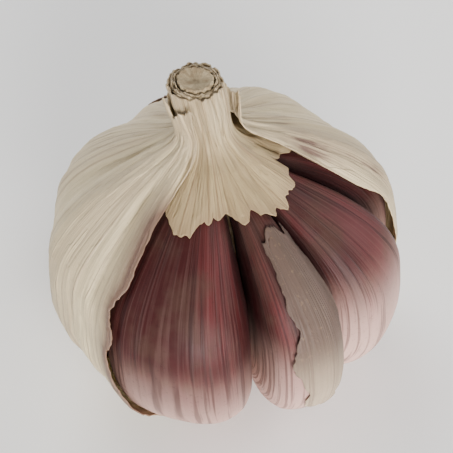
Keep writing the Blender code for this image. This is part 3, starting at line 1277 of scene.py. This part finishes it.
        kept_free = web.math("DIVIDE", form.clearance / 2, radius)
        half = less(times(less(source["After"], source["Before"]), 0.5), kept_free)
        pressed = field_math.power(web.math("ABSOLUTE", sideways), form.flank_power)
        across = times(web.math("SIGN", sideways), pressed, half)
        azimuth = add(times(add(source["After"], source["Before"]), 0.5), across)
        lean = times(field_math.power(web.math("DIVIDE", height, form.lean_height), 2.0), -form.neck_lean)
        x = add(lean, times(radius, web.math("SINE", azimuth)))
        y = times(radius, web.math("COSINE", azimuth), -1.0)
        return web.vector(x, y, height)

    def relief(self, web: NodeWeb, source: Sockets) -> Socket:
        """How far the skin's dents, ribs, veins and puckers move a point, along its normal.

        Args:
            web: the tree's web.
            source: the tree's inputs.

        Returns:
            The move.
        """
        field_math = FieldMath(web)
        add, times, less = field_math.add, field_math.times, field_math.less
        read = {}
        for name in ("grain", "marks"):
            node = web.add("GeometryNodeInputNamedAttribute", data_type="FLOAT_VECTOR")
            node.inputs["Name"].default_value = name
            read[name] = node.outputs["Attribute"]
        along, _, number = web.split(read["marks"])
        body = field_math.power(web.math("SINE", times(along, math.pi)), 0.6)
        ends = add(field_math.share(along, 0.62, 0.98), field_math.share(along, 0.12, 0.01))

        def stretched(across: float, lengthwise: float) -> Socket:
            """The grain, scaled across and along the clove.

            Args:
                across: the scale across it.
                lengthwise: the scale along it.

            Returns:
                The scaled grain.
            """
            node = web.add("ShaderNodeVectorMath", operation="MULTIPLY")
            web.feed(node.inputs[0], read["grain"])
            node.inputs[1].default_value = (across, across, lengthwise)
            return node.outputs[0]

        place = web.add("GeometryNodeInputPosition").outputs[0]
        dents = less(field_math.noise(place, 1.0 / (self.dent_size_mm * MM), 1.0, number), 0.35)
        swell = web.math("ABSOLUTE", field_math.noise(stretched(0.22, 0.012), 1.0, 0.0, number))
        ribs = less(0.45, times(swell, 3.0))
        veins = field_math.noise(stretched(0.9, 0.05), 1.0, 1.0, add(number, 5.0))
        puckers = field_math.noise(stretched(1.1, 0.05), 1.0, 1.0, add(number, 9.0))
        lift = add(
            times(dents, source["Dent depth"], body),
            times(ribs, source["Rib height"], body),
            times(veins, source["Vein height"]),
            times(puckers, source["Pucker height"], ends),
        )
        move = web.add("ShaderNodeVectorMath", operation="SCALE")
        web.feed(move.inputs[0], web.add("GeometryNodeInputNormal").outputs[0])
        web.feed(move.inputs["Scale"], times(lift, MM))
        return move.outputs[0]

    def build(self) -> None:
        """Makes each clove and rides it in place of its solid."""
        tree = self.tree()
        edges = self.form.clefts()
        for index, clove in enumerate(self.form.cloves):
            values = {
                "Number": index,
                "Before": math.radians(edges[index]),
                "After": math.radians(edges[index + 1]),
                "Fullness": clove.fullness,
                "Drop": clove.drop_mm * MM,
            }
            piece = from_nodes(f"garlic_clove_{index + 1}", tree, values)
            hand_in(piece, "clove_skin", f"clove_{index + 1}")


# ---------------------------------------------------------------- papery skins


class Edge(Enum):
    """How a skin ends at one of its sides."""

    TORN = "torn"
    TUCKED = "tucked"


Line = Callable[[Array], Array]


@dataclass(frozen=True)
class PaperSheet:
    """A papery skin between two edges, from near the root plate up to somewhere on the neck."""

    form: BulbForm
    name: str
    material: bpy.types.Material
    first: Line
    last: Line
    neck_share: float
    layer: int
    seed: int
    first_end: Edge = Edge.TORN
    last_end: Edge = Edge.TORN
    rows: int = 180
    columns: int = 220
    foot: float = 0.04
    neck_part: float = 5 / 21
    thickness: float = 0.00016
    cad_thickness: float = 0.0003
    sheath_thickness: float = 0.0005
    lift_start: float = 0.58
    lift_end: float = 0.755
    sag_mm: float = 1.1
    hug_mm: float = 2.6
    pleat_mm: tuple[float, float] = (0.10, 0.34)
    crumple_mm: float = 0.22
    curl_mm: float = 0.6
    curl_width_mm: float = 1.8
    thin_edge: float = 3.8

    def offset(self, t: Array) -> Array:
        """How far the sheet lies from the cloves' cover, where from the skirt on it lies over the sheath.

        Args:
            t: the place on the outline.

        Returns:
            The distances.
        """
        lift = smoothstep(t, self.lift_start, self.lift_end)
        over = lift * (self.sheath_thickness + self.form.clearance)
        return self.form.clearance + self.layer * (self.cad_thickness + self.form.clearance) + over

    def ragged(self, way: Array, side: int) -> Array:
        """How far a torn edge strays along its way up.

        Args:
            way: the places on its way.
            side: 1 for the first edge and 2 for the last one.

        Returns:
            Degrees.
        """
        line = np.stack([way * 7.0, np.full_like(way, 7.3 * side), np.zeros_like(way)], axis=-1)
        drift = noise(line, self.seed + side, 2)
        steps = 2.2 * noise(line * 2.7, self.seed + 5 + side)
        stepped = np.floor(steps) + smoothstep(steps % 1.0, 0.3, 0.7)
        return 1.7 * drift + 0.9 * stepped + 0.3 * noise(line * 13.0, self.seed + 7 + side, 2)

    def surface(self) -> Surface:
        """The sheet's inner face.

        Returns:
            An open surface that faces outwards.
        """
        way, share = grid(self.rows, self.columns)
        start, end = self.first(way), self.last(way)
        start = start + self.ragged(way, 1) * (self.first_end is Edge.TORN)
        end = end + self.ragged(way, 2) * (self.last_end is Edge.TORN)
        azimuth = start + (end - start) * share
        circle = unit_circle(azimuth)
        fray = noise(circle * 9.0 + self.seed, self.seed + 40, 3)
        tongues = noise(circle * 3.1 + self.seed, self.seed + 41, 2)
        top = smoothstep(way, 0.80, 1.0)
        way = way + (0.018 * fray + 0.060 * tongues) * top - 0.010 * fray * smoothstep(-way, -0.12, 0.0)
        split = 1.0 - self.neck_part
        t = self.foot + (self.form.cover_turn - self.foot) * np.minimum(way / split, 1.0)
        neck = self.neck_share * np.maximum(way - split, 0.0) / self.neck_part
        fullness = self.form.fullness_at(azimuth)
        low = self.form.outline_beyond(t, self.offset(t), fullness)
        high = self.form.neck_beyond(neck, self.offset(np.ones_like(t)) - self.form.clearance, fullness)
        on_neck = way > split
        radius = np.where(on_neck, high[0], low[0])
        height = np.where(on_neck, high[1], low[1])
        points = self.form.place(azimuth, radius, height)
        grain = round_grain(circle, SKIN_ROUND_MM, 76.0 * way)

        reach = radius / MM * math.radians(1.0)
        to_first = np.abs(azimuth - start) * reach
        to_last = np.abs(end - azimuth) * reach
        recess = self.form.recess(azimuth, t) / MM
        hug = np.exp(-((np.minimum(to_first, to_last) / 7.0) ** 2))
        depth = self.sag_mm + (self.hug_mm - self.sag_mm) * hug
        sag = 0.88 * depth * (1.0 - np.exp(-recess / depth)) * (1.0 - smoothstep(t, 0.70, 0.88))

        pleats = 0.9 * noise(circle * 4.2 + self.seed, self.seed + 3, 2)
        pleats = pleats + 0.5 * creases(circle * 5.5 + self.seed, self.seed + 4, 2)
        low_mm, high_mm = self.pleat_mm
        lift = pleats * (low_mm + (high_mm - low_mm) * smoothstep(way, 0.45, 0.85))
        crumple = creases(grain * np.array([0.22, 0.22, 0.07]), self.seed + 9)
        lift = lift + self.crumple_mm * crumple * np.sin(math.pi * np.clip(way, 0, 1)) ** 0.5
        lift = lift + 0.08 * creases(grain * np.array([0.6, 0.6, 0.03]), self.seed + 12, 2)
        lift = lift + 0.05 * creases(grain * np.array([0.5, 0.5, 0.35]), self.seed + 13, 2)
        ends = ((to_first, self.first_end), (to_last, self.last_end))
        for number, (distance, end_kind) in enumerate(ends):
            if end_kind is Edge.TORN:
                swell = 0.55 + 0.6 * noise(np.stack([way * 7, way * 0 + number, way * 0], -1), self.seed + 20)
                curl = self.curl_mm * swell * (1.0 - 0.8 * smoothstep(way, 0.60, 0.80))
                lift = lift + curl * np.exp(-((distance / self.curl_width_mm) ** 2))
        edge = np.maximum(np.exp(-to_first / 0.8), np.exp(-to_last / 0.8))
        cling = np.exp(-np.maximum(recess - sag, 0.0) / 0.9) * (1.0 - smoothstep(t, 0.72, 0.85))
        cling = cling * (0.40 + self.thin_edge * np.exp(-np.minimum(to_first, to_last) / 3.4))
        cling = cling * (0.25 + 0.75 * smoothstep(t, 0.10, 0.38))
        marks = np.stack([edge, cling, way], axis=-1)
        return raised(Surface(points, grain, marks), lift - sag, self.form.belly_height)

    def build(self, slot: str, *nodes: str) -> bpy.types.Object:
        """Makes the sheet and rides it in place of its solid.

        Args:
            slot: passed on to hand_in, which does not use it.
            *nodes: the CAD nodes that it stands for.

        Returns:
            The finished piece.
        """
        piece = mesh_piece(self.name, [self.surface()], self.material)
        give_wall(piece, self.thickness)
        hand_in(piece, slot, *nodes)
        return piece


@dataclass(frozen=True)
class TornFront:
    """The left wrapper's torn edge, which bares the broad front clove."""

    at_foot: float = -18.0
    at_top: float = -8.0
    opening: float = 21.0

    def __call__(self, way: Array) -> Array:
        """The edge's azimuth at each place on its way up."""
        drawn_back = self.opening * np.sin(math.pi * np.clip(way, 0.0, 1.0)) ** 0.8
        return self.at_foot + (self.at_top - self.at_foot) * way - drawn_back


@dataclass(frozen=True)
class WavyLine:
    """An edge that wanders about one azimuth."""

    azimuth: float
    wave: float = 2.5

    def __call__(self, way: Array) -> Array:
        """The edge's azimuth at each place on its way up."""
        return self.azimuth + self.wave * np.sin(7.0 * way)


@dataclass(frozen=True)
class CloveStrip:
    """The strip of skin that still clings to the back of one clove."""

    form: BulbForm
    material: bpy.types.Material
    clove: int = 1
    left: float = -12.0
    right: float = 44.0
    foot: float = 0.26
    top: float = 0.72
    rows: int = 150
    columns: int = 46
    thickness: float = 0.0001
    gap_mm: float = 0.10
    curl_mm: float = 0.30
    seed: int = 60

    def build(self) -> None:
        """Makes the strip and rides it in place of its solid."""
        way, share = grid(self.rows, self.columns)
        line = np.stack([way * 8.0, np.zeros_like(way), np.zeros_like(way)], axis=-1)
        taper = 1.0 - 0.55 * smoothstep(-way, -0.18, 0.0)
        left = self.left + 6.0 * noise(line * 0.6, self.seed, 3) + noise(line * 6, self.seed + 1)
        right = self.right + 5.0 * noise(line * 0.6 + 9.0, self.seed, 3) + noise(line * 6, self.seed + 2)
        middle = (left + right) / 2 + 6.0
        turn = middle + (left + (right - left) * share - middle) * taper
        column = np.stack([share * 6.0, np.zeros_like(way), np.ones_like(way)], axis=-1)
        fray = noise(column, self.seed + 4, 3) * (smoothstep(way, 0.75, 1.0) + smoothstep(-way, -0.3, 0.0))
        t = self.foot + (self.top - self.foot) * way + 0.02 * fray
        points = self.form.clove_surface(self.clove, t, turn)
        grain = round_grain(unit_circle(turn), CLOVE_ROUND_MM, CLOVE_WAY_MM * t)
        width_mm = np.abs(right - left) * 0.16
        near = np.minimum(share, 1.0 - share) * width_mm
        ends = np.minimum(way, 1.0 - way) * 30.0
        edge = np.exp(-np.minimum(near, ends) / 0.6)
        swell = 0.6 + 0.7 * noise(line * 0.8 + 3.0, self.seed + 7)
        lift = self.gap_mm + self.curl_mm * swell * np.exp(-((np.minimum(near, ends) / 1.1) ** 2))
        lift = lift + 0.07 * creases(grain * np.array([0.5, 0.5, 0.1]), self.seed + 8)
        marks = np.stack([edge, np.full_like(way, 0.8), 0.12 + 0.88 * way], axis=-1)
        surface = raised(Surface(points, grain, marks), lift, self.form.belly_height)
        piece = mesh_piece("clinging_strip", [surface], self.material)
        give_wall(piece, self.thickness)
        hand_in(piece, "wrapper_paper", "wrapper_strip")


@dataclass(frozen=True)
class NeckSheath:
    """The dry leaf bases: a pleated sheath with a skirt over the clove tips, and leaves rolled inside it."""

    form: BulbForm
    material: bpy.types.Material
    skirt_start: float = 0.77
    skirt_wave: float = 0.015
    skirt_part: float = 0.42
    rows: int = 120
    columns: int = 240
    leaf_rows: int = 24
    leaf_columns: int = 130
    thickness: float = 0.00018
    pleat_mm: tuple[float, float] = (0.10, 0.36)
    slimmer_mm: float = 0.42
    inner_leaves: tuple[tuple[float, float], ...] = (
        (0.00342, 0.0508),
        (0.00322, 0.0511),
        (0.00302, 0.0510),
        (0.00283, 0.0513),
    )
    seed: int = 90

    def outer(self) -> Surface:
        """The sheath and its skirt.

        Returns:
            A ring-shaped surface that faces outwards.
        """
        around = 180.0 - 360.0 * np.arange(self.columns) / self.columns
        way, azimuth = ring_grid(np.linspace(0.0, 1.0, self.rows), around)
        ring = np.radians(azimuth)
        circle = unit_circle(azimuth)
        fray = 0.022 * noise(circle * 3.2, self.seed, 2) - 0.008 * creases(circle * 7.0, self.seed + 8, 3)
        fray = fray + 0.005 * noise(circle * 15.0, self.seed + 9, 2)
        start = self.skirt_start + self.skirt_wave * np.sin(5 * ring) + fray
        t = start + (self.form.cover_turn - start) * np.minimum(way / self.skirt_part, 1.0)
        share = np.maximum(way - self.skirt_part, 0.0) / (1.0 - self.skirt_part)
        share = share * (1.0 + 0.022 * noise(circle * 4.0, self.seed + 1, 3) * smoothstep(way, 0.8, 1.0))
        fullness = self.form.fullness_at(azimuth)
        low = self.form.outline_beyond(t, np.full_like(t, self.form.clearance), fullness)
        high = self.form.neck_curve(share, fullness)
        on_neck = way > self.skirt_part
        radius, height = np.where(on_neck, high[0], low[0]), np.where(on_neck, high[1], low[1])
        points = self.form.place(azimuth, radius, height)
        grain = round_grain(circle, SKIN_ROUND_MM, 30.0 * way)
        recess = self.form.recess(azimuth, t) / MM
        sag = 0.8 * (1.0 - np.exp(-recess)) * (1.0 - smoothstep(t, 0.80, 0.88))
        twist = ring + 0.35 * way
        twisted = np.stack([np.sin(twist), np.cos(twist), 0.25 * way], axis=-1)
        pleats = noise(twisted * 3.4, self.seed + 2, 2)
        pleats = pleats + 0.45 * creases(twisted * 4.6, self.seed + 3, 2)
        low_mm, high_mm = self.pleat_mm
        lift = pleats * (low_mm + (high_mm - low_mm) * smoothstep(way, 0.2, 0.6))
        lift = lift + 0.10 * creases(grain * np.array([0.25, 0.25, 0.12]), self.seed + 4)
        lift = lift + 0.15 * smoothstep(way, 0.90, 1.0) * noise(circle * 4.0, self.seed + 6)
        lift = lift - self.slimmer_mm * smoothstep(share, 0.30, 0.95) * on_neck
        edge = np.exp(-way * 14.0) + np.exp(-(1.0 - way) * 22.0)
        marks = np.stack([edge, 0.5 * (1.0 - smoothstep(way, 0.0, 0.4)), way], axis=-1)
        sheath = Surface(points, grain, marks, closed=True)
        return raised(sheath, lift - sag, self.form.belly_height)

    def inner(self, number: int, radius: float, top: float) -> Surface:
        """One leaf rolled round the stalk inside the neck.

        Args:
            number: which leaf it is.
            radius: its distance from the stalk's middle.
            top: the height of its cut end.

        Returns:
            A ring-shaped surface.
        """
        rows, columns = self.leaf_rows, self.leaf_columns
        way, azimuth = ring_grid(np.linspace(0.0, 1.0, rows), 360.0 * np.arange(columns) / columns)
        circle = unit_circle(azimuth)
        ragged = noise(circle * 3.0 + number, self.seed + 30 + number, 3)
        foot = self.form.tip_height + 0.006
        height = foot + (top + 0.0004 * ragged - foot) * way
        pleats = 0.13 * noise(circle * 3.2, self.seed + 50, 2) + 0.04 * noise(circle * 6.0, 3 * number, 2)
        points = self.form.place(azimuth, radius + pleats * MM, height)
        grain = round_grain(circle, SKIN_ROUND_MM, 14.0 * way + 31.0 * number)
        marks = np.stack([np.exp(-(1.0 - way) * 8.0), np.zeros_like(way), 0.8 * np.ones_like(way)], axis=-1)
        return Surface(points, grain, marks, closed=True)

    def build(self) -> None:
        """Makes the neck and rides it in place of its solid."""
        surfaces = [self.outer()]
        surfaces += [self.inner(i, radius, top) for i, (radius, top) in enumerate(self.inner_leaves)]
        piece = mesh_piece("neck_leaves", surfaces, self.material)
        give_wall(piece, self.thickness)
        hand_in(piece, "neck_paper", "neck_sheath")


# ---------------------------------------------------------------- stem


@dataclass(frozen=True)
class RootFringe:
    """Trimmed roots, set by a Geometry Nodes tree in a ring under the root plate."""

    name: str
    count: int
    inner_radius: float
    outer_radius: float
    height: float
    length: float
    thickness: float
    tilt: float
    seed: int

    def tree(self, material: bpy.types.Material) -> bpy.types.NodeTree:
        """The tree that sets the roots.

        Args:
            material: their finish.

        Returns:
            The tree.
        """
        inputs = {
            "Count": self.count,
            "Seed": self.seed,
            "Inner radius": self.inner_radius,
            "Outer radius": self.outer_radius,
            "Height": self.height,
            "Length": self.length,
            "Thickness": self.thickness,
            "Tilt": self.tilt,
        }
        web, source, result = open_tree(self.name, inputs)

        def chance(low: Socket | float, high: Socket | float, shift: int) -> Socket:
            """A random number for each root.

            Args:
                low: the least it can be.
                high: the most it can be.
                shift: which number of the root's it is.

            Returns:
                The number.
            """
            node = web.add("FunctionNodeRandomValue", data_type="FLOAT")
            floats = [s for s in node.inputs if s.type == "VALUE"]
            web.feed(floats[0], low)
            web.feed(floats[1], high)
            web.feed(node.inputs["Seed"], web.math("ADD", source["Seed"], float(shift)))
            return next(s for s in node.outputs if s.type == "VALUE")

        angle = chance(0.0, 2 * math.pi, 1)
        out = chance(source["Inner radius"], source["Outer radius"], 2)
        x = web.math("MULTIPLY", out, web.math("COSINE", angle))
        y = web.math("MULTIPLY", out, web.math("SINE", angle))
        spots = web.step("GeometryNodePoints", source["Count"], position=web.vector(x, y, source["Height"]))

        root = web.add("GeometryNodeMeshCone", fill_type="NGON")
        root.inputs["Vertices"].default_value = 6
        root.inputs["Side Segments"].default_value = 3
        web.feed(root.inputs["Radius Top"], source["Thickness"])
        web.feed(root.inputs["Radius Bottom"], web.math("MULTIPLY", source["Thickness"], 0.55))
        web.feed(root.inputs["Depth"], source["Length"])
        down = web.vector(0.0, 0.0, web.math("MULTIPLY", source["Length"], -1.0))
        hanging = web.step("GeometryNodeTransform", root.outputs["Mesh"], translation=down)

        tilt = web.math("MULTIPLY", source["Tilt"], chance(-1.12, -0.85, 3))
        lean = web.vector(chance(-0.35, 0.35, 4), tilt, angle)
        turned = web.add("FunctionNodeEulerToRotation")
        web.feed(turned.inputs[0], lean)
        wide = chance(0.7, 1.3, 5)
        size = web.vector(wide, wide, chance(0.55, 1.0, 6))
        placed = web.step(
            "GeometryNodeInstanceOnPoints", spots, instance=hanging, rotation=turned.outputs[0], scale=size
        )
        real = web.step("GeometryNodeRealizeInstances", placed)
        web.feed(result, web.step("GeometryNodeSetMaterial", real, material=material))
        return web.tree

    def build(self, material: bpy.types.Material) -> bpy.types.Object:
        """The roots as one plain mesh."""
        return from_nodes(self.name, self.tree(material), {})


@dataclass(frozen=True)
class Stem:
    """The root plate with its trimmed roots, and the dry stalk that grows from it."""

    form: BulbForm
    cork: bpy.types.Material
    straw: bpy.types.Material
    rest_radius: float = 0.0064
    underside: float = 0.0003

    def plate(self) -> Surface:
        """The corky plate: its underside, its rim and its conical top.

        Returns:
            A capped tube.
        """
        form = self.form
        profile = (
            (0.0004, self.underside),
            (0.003, self.underside),
            (self.rest_radius, self.underside),
            ((self.rest_radius + form.plate_radius) / 2, self.underside),
            (form.plate_radius, form.plate_rim_height * 0.8),
            (form.plate_radius * 0.94, form.plate_rim_height),
            (0.006, 0.0026),
            (0.0045, 0.0034),
            (form.stalk_radius * 0.8, form.plate_crown_height),
        )
        rows, columns = 60, 120
        numbers = np.arange(len(profile))
        at = np.linspace(0.0, len(profile) - 1.0, rows)
        radius, height = (np.interp(at, numbers, values) for values in zip(*profile))
        radius, azimuth = ring_grid(radius, 360.0 * np.arange(columns) / columns)
        points = unit_circle(azimuth) * radius[..., None] * np.array([1.0, -1.0, 1.0])
        points[..., 2] = height[:, None]
        rough = noise(points / 0.0011, 5, 3)
        inwards = -np.abs(rough) * 0.00022
        points = points + normals(points, True) * inwards[..., None]
        points[..., 2] = np.maximum(points[..., 2], 0.0001)
        grain = points / MM
        return Surface(points, grain, np.zeros_like(points), closed=True, capped=True)

    def stalk(self) -> Surface:
        """The stalk, with ribs along it and a dished cut end.

        Returns:
            A capped tube.
        """
        form = self.form
        rows, columns = 90, 110
        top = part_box("stem")[1].z - 0.0004
        dish_heights, dish_scales = [top, top - 0.0003, top - 0.0005], [0.93, 0.6, 0.2]
        height = np.concatenate([np.linspace(form.plate_crown_height * 0.6, top, rows), dish_heights])
        scale = np.concatenate([np.ones(rows), dish_scales])
        height, azimuth = ring_grid(height, 360.0 * np.arange(columns) / columns)
        circle = unit_circle(azimuth)
        ribs = 0.09 * np.cos(14 * np.radians(azimuth)) + 0.10 * noise(circle * 3.0, 44, 2)
        radius = (form.stalk_radius * 0.96 + ribs * MM) * scale[:, None]
        points = form.place(azimuth, radius, height)
        grain = round_grain(circle, STALK_ROUND_MM, height / MM)
        return Surface(points, grain, np.zeros_like(points), closed=True, capped=True)

    def build(self) -> None:
        """Makes the stem's pieces and rides them in place of its solid."""
        hand_in(mesh_piece("root_plate", [self.plate()], self.cork), "dry_stem", "stem")
        hand_in(mesh_piece("stalk", [self.stalk()], self.straw), "dry_stem", "stem")
        under = RootFringe(
            "trimmed_roots",
            count=260,
            inner_radius=0.0010,
            outer_radius=0.0068,
            height=0.0009,
            length=0.0008,
            thickness=0.00022,
            tilt=0.25,
            seed=7,
        )
        fringe = RootFringe(
            "root_fringe",
            count=150,
            inner_radius=0.0066,
            outer_radius=0.0080,
            height=0.0013,
            length=0.0020,
            thickness=0.00021,
            tilt=1.15,
            seed=8,
        )
        for roots in (under, fringe):
            hand_in(roots.build(self.cork), "dry_stem", "stem")


# ---------------------------------------------------------------- stage


WARM = (1.0, 0.985, 0.96)


@dataclass(frozen=True)
class SoftLight:
    """A square area light that looks at the bulb."""

    name: str
    azimuth: float
    elevation: float
    distance: float
    size: float
    power: float
    colour: Colour = (1.0, 1.0, 1.0)

    def build(self, target: Vector) -> None:
        """Adds the light to the scene.

        Args:
            target: what it looks at.
        """
        lamp = bpy.data.lights.new(self.name, "AREA")
        lamp.size = self.size
        lamp.energy = self.power
        lamp.color = self.colour
        holder = bpy.data.objects.new(self.name, lamp)
        turn, rise = math.radians(self.azimuth), math.radians(self.elevation)
        flat = math.cos(rise)
        direction = Vector((flat * math.sin(turn), -flat * math.cos(turn), math.sin(rise)))
        holder.location = target + direction * self.distance
        holder.rotation_euler = direction.to_track_quat("Z", "Y").to_euler()
        bpy.context.scene.collection.objects.link(holder)


@dataclass(frozen=True)
class Studio:
    """A plain pale floor, soft lights and the camera."""

    target: Vector
    elevation: float = 45.0
    lens: float = 200.0
    view_width: float = 0.066
    floor_size: float = 6.0
    floor_colour: Colour = (0.90, 0.89, 0.875)
    sky: Colour = (0.86, 0.88, 0.92)
    sky_strength: float = 0.38
    lights: tuple[SoftLight, ...] = (
        SoftLight("key", azimuth=14.0, elevation=14.0, distance=0.55, size=0.28, power=7.6, colour=WARM),
        SoftLight("left", azimuth=-75.0, elevation=35.0, distance=0.70, size=0.40, power=0.7),
        SoftLight("right", azimuth=105.0, elevation=30.0, distance=0.70, size=0.40, power=3.0),
        SoftLight("back", azimuth=205.0, elevation=30.0, distance=0.70, size=0.45, power=4.6),
    )

    def build(self) -> None:
        """Sets the whole stage."""
        self.floor()
        self.world()
        for light in self.lights:
            light.build(self.target)
        self.camera()

    def floor(self) -> None:
        """The floor that the bulb stands on."""
        half = self.floor_size / 2
        mesh = bpy.data.meshes.new("floor")
        corners = [(-half, -half, 0.0), (half, -half, 0.0), (half, half, 0.0), (-half, half, 0.0)]
        mesh.from_pydata(corners, [], [(0, 1, 2, 3)])
        material, _, shader = start_material("pale_floor")
        shader.inputs["Base Color"].default_value = (*self.floor_colour, 1.0)
        shader.inputs["Roughness"].default_value = 0.9
        mesh.materials.append(material)
        floor = bpy.data.objects.new("floor", mesh)
        bpy.context.scene.collection.objects.link(floor)
        floor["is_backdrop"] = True

    def world(self) -> None:
        """Even light from all round."""
        world = bpy.data.worlds.new("studio")
        world.use_nodes = True
        background = world.node_tree.nodes["Background"]
        background.inputs["Color"].default_value = (*self.sky, 1.0)
        background.inputs["Strength"].default_value = self.sky_strength
        bpy.context.scene.world = world

    def camera(self) -> None:
        """The camera, in front of the bulb and looking down on it."""
        lens = bpy.data.cameras.new("camera")
        lens.lens = self.lens
        lens.sensor_width = 36.0
        lens.clip_start = 0.01
        lens.dof.use_dof = False
        holder = bpy.data.objects.new("camera", lens)
        rise = math.radians(self.elevation)
        direction = Vector((0.0, -math.cos(rise), math.sin(rise)))
        holder.location = self.target + direction * (self.view_width * self.lens / lens.sensor_width)
        holder.rotation_euler = direction.to_track_quat("Z", "Y").to_euler()
        bpy.context.scene.collection.objects.link(holder)
        bpy.context.scene.camera = holder


# ---------------------------------------------------------------- everything in order


def main() -> None:
    """Builds the bulb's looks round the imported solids."""
    logging.basicConfig(level=logging.INFO, format="%(name)s: %(message)s")
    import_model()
    solids_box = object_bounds()
    form = BulbForm.from_frame()
    effects = Effects.build()
    clove_skin = CloveSkin().build(effects)
    # The wrappers' darker top is painted shade.
    wrapper_paper = PaperSkin("wrapper_paper").build(effects)
    film_paper = PaperSkin(
        "clinging_film",
        sheet=(0.500, 0.390, 0.270),
        # upper: the strip is dark towards its top, partly the clove showing through and partly painted shade
        upper=(0.062, 0.036, 0.023),
        upper_span=(0.14, 0.62),
        vein=(0.120, 0.072, 0.054),
        vein_share=0.45,
        flaked_share=0.0,
        blush_share=0.25,
        glow=0.0,
        edge_stain=0.0,
        foot_stain=0.0,
        roughness=0.55,
    ).build(effects)
    neck_paper = PaperSkin(
        "neck_paper",
        sheet=(0.450, 0.335, 0.170),
        upper=(0.560, 0.445, 0.270),
        upper_span=(0.35, 0.75),
        vein=(0.260, 0.165, 0.080),
        vein_share=0.75,
        blush_share=0.30,
        foot_stain=0.3,
    ).build(effects)
    cork = DryPlant("root_cork", (0.34, 0.25, 0.15), (0.12, 0.075, 0.04), streaky=False).build(effects)
    straw = DryPlant("stalk_straw", (0.56, 0.45, 0.27), (0.27, 0.18, 0.09), streaky=True).build(effects)

    Stem(form, cork, straw).build()
    CloveWhorl(form, clove_skin).build()
    NeckSheath(form, neck_paper).build()
    left = PaperSheet(
        form,
        "left_wrapper",
        wrapper_paper,
        first=TornFront(),
        last=WavyLine(-176.0),
        last_end=Edge.TUCKED,
        neck_share=0.74,
        layer=0,
        seed=21,
    )
    left.build("wrapper_paper", "wrapper_left")
    back = PaperSheet(
        form,
        "back_wrapper",
        wrapper_paper,
        first=WavyLine(-154.0),
        last=WavyLine(-263.0),
        neck_share=0.60,
        layer=1,
        seed=33,
        columns=160,
        curl_mm=0.35,
    )
    back.build("wrapper_paper", "wrapper_back")
    CloveStrip(form, film_paper).build()

    low, high = solids_box
    target = Vector(((low[0] + high[0]) / 2, 0.0, (low[2] + high[2]) * 0.44))
    Studio(target).build()


if __name__ == "__main__":
    main()
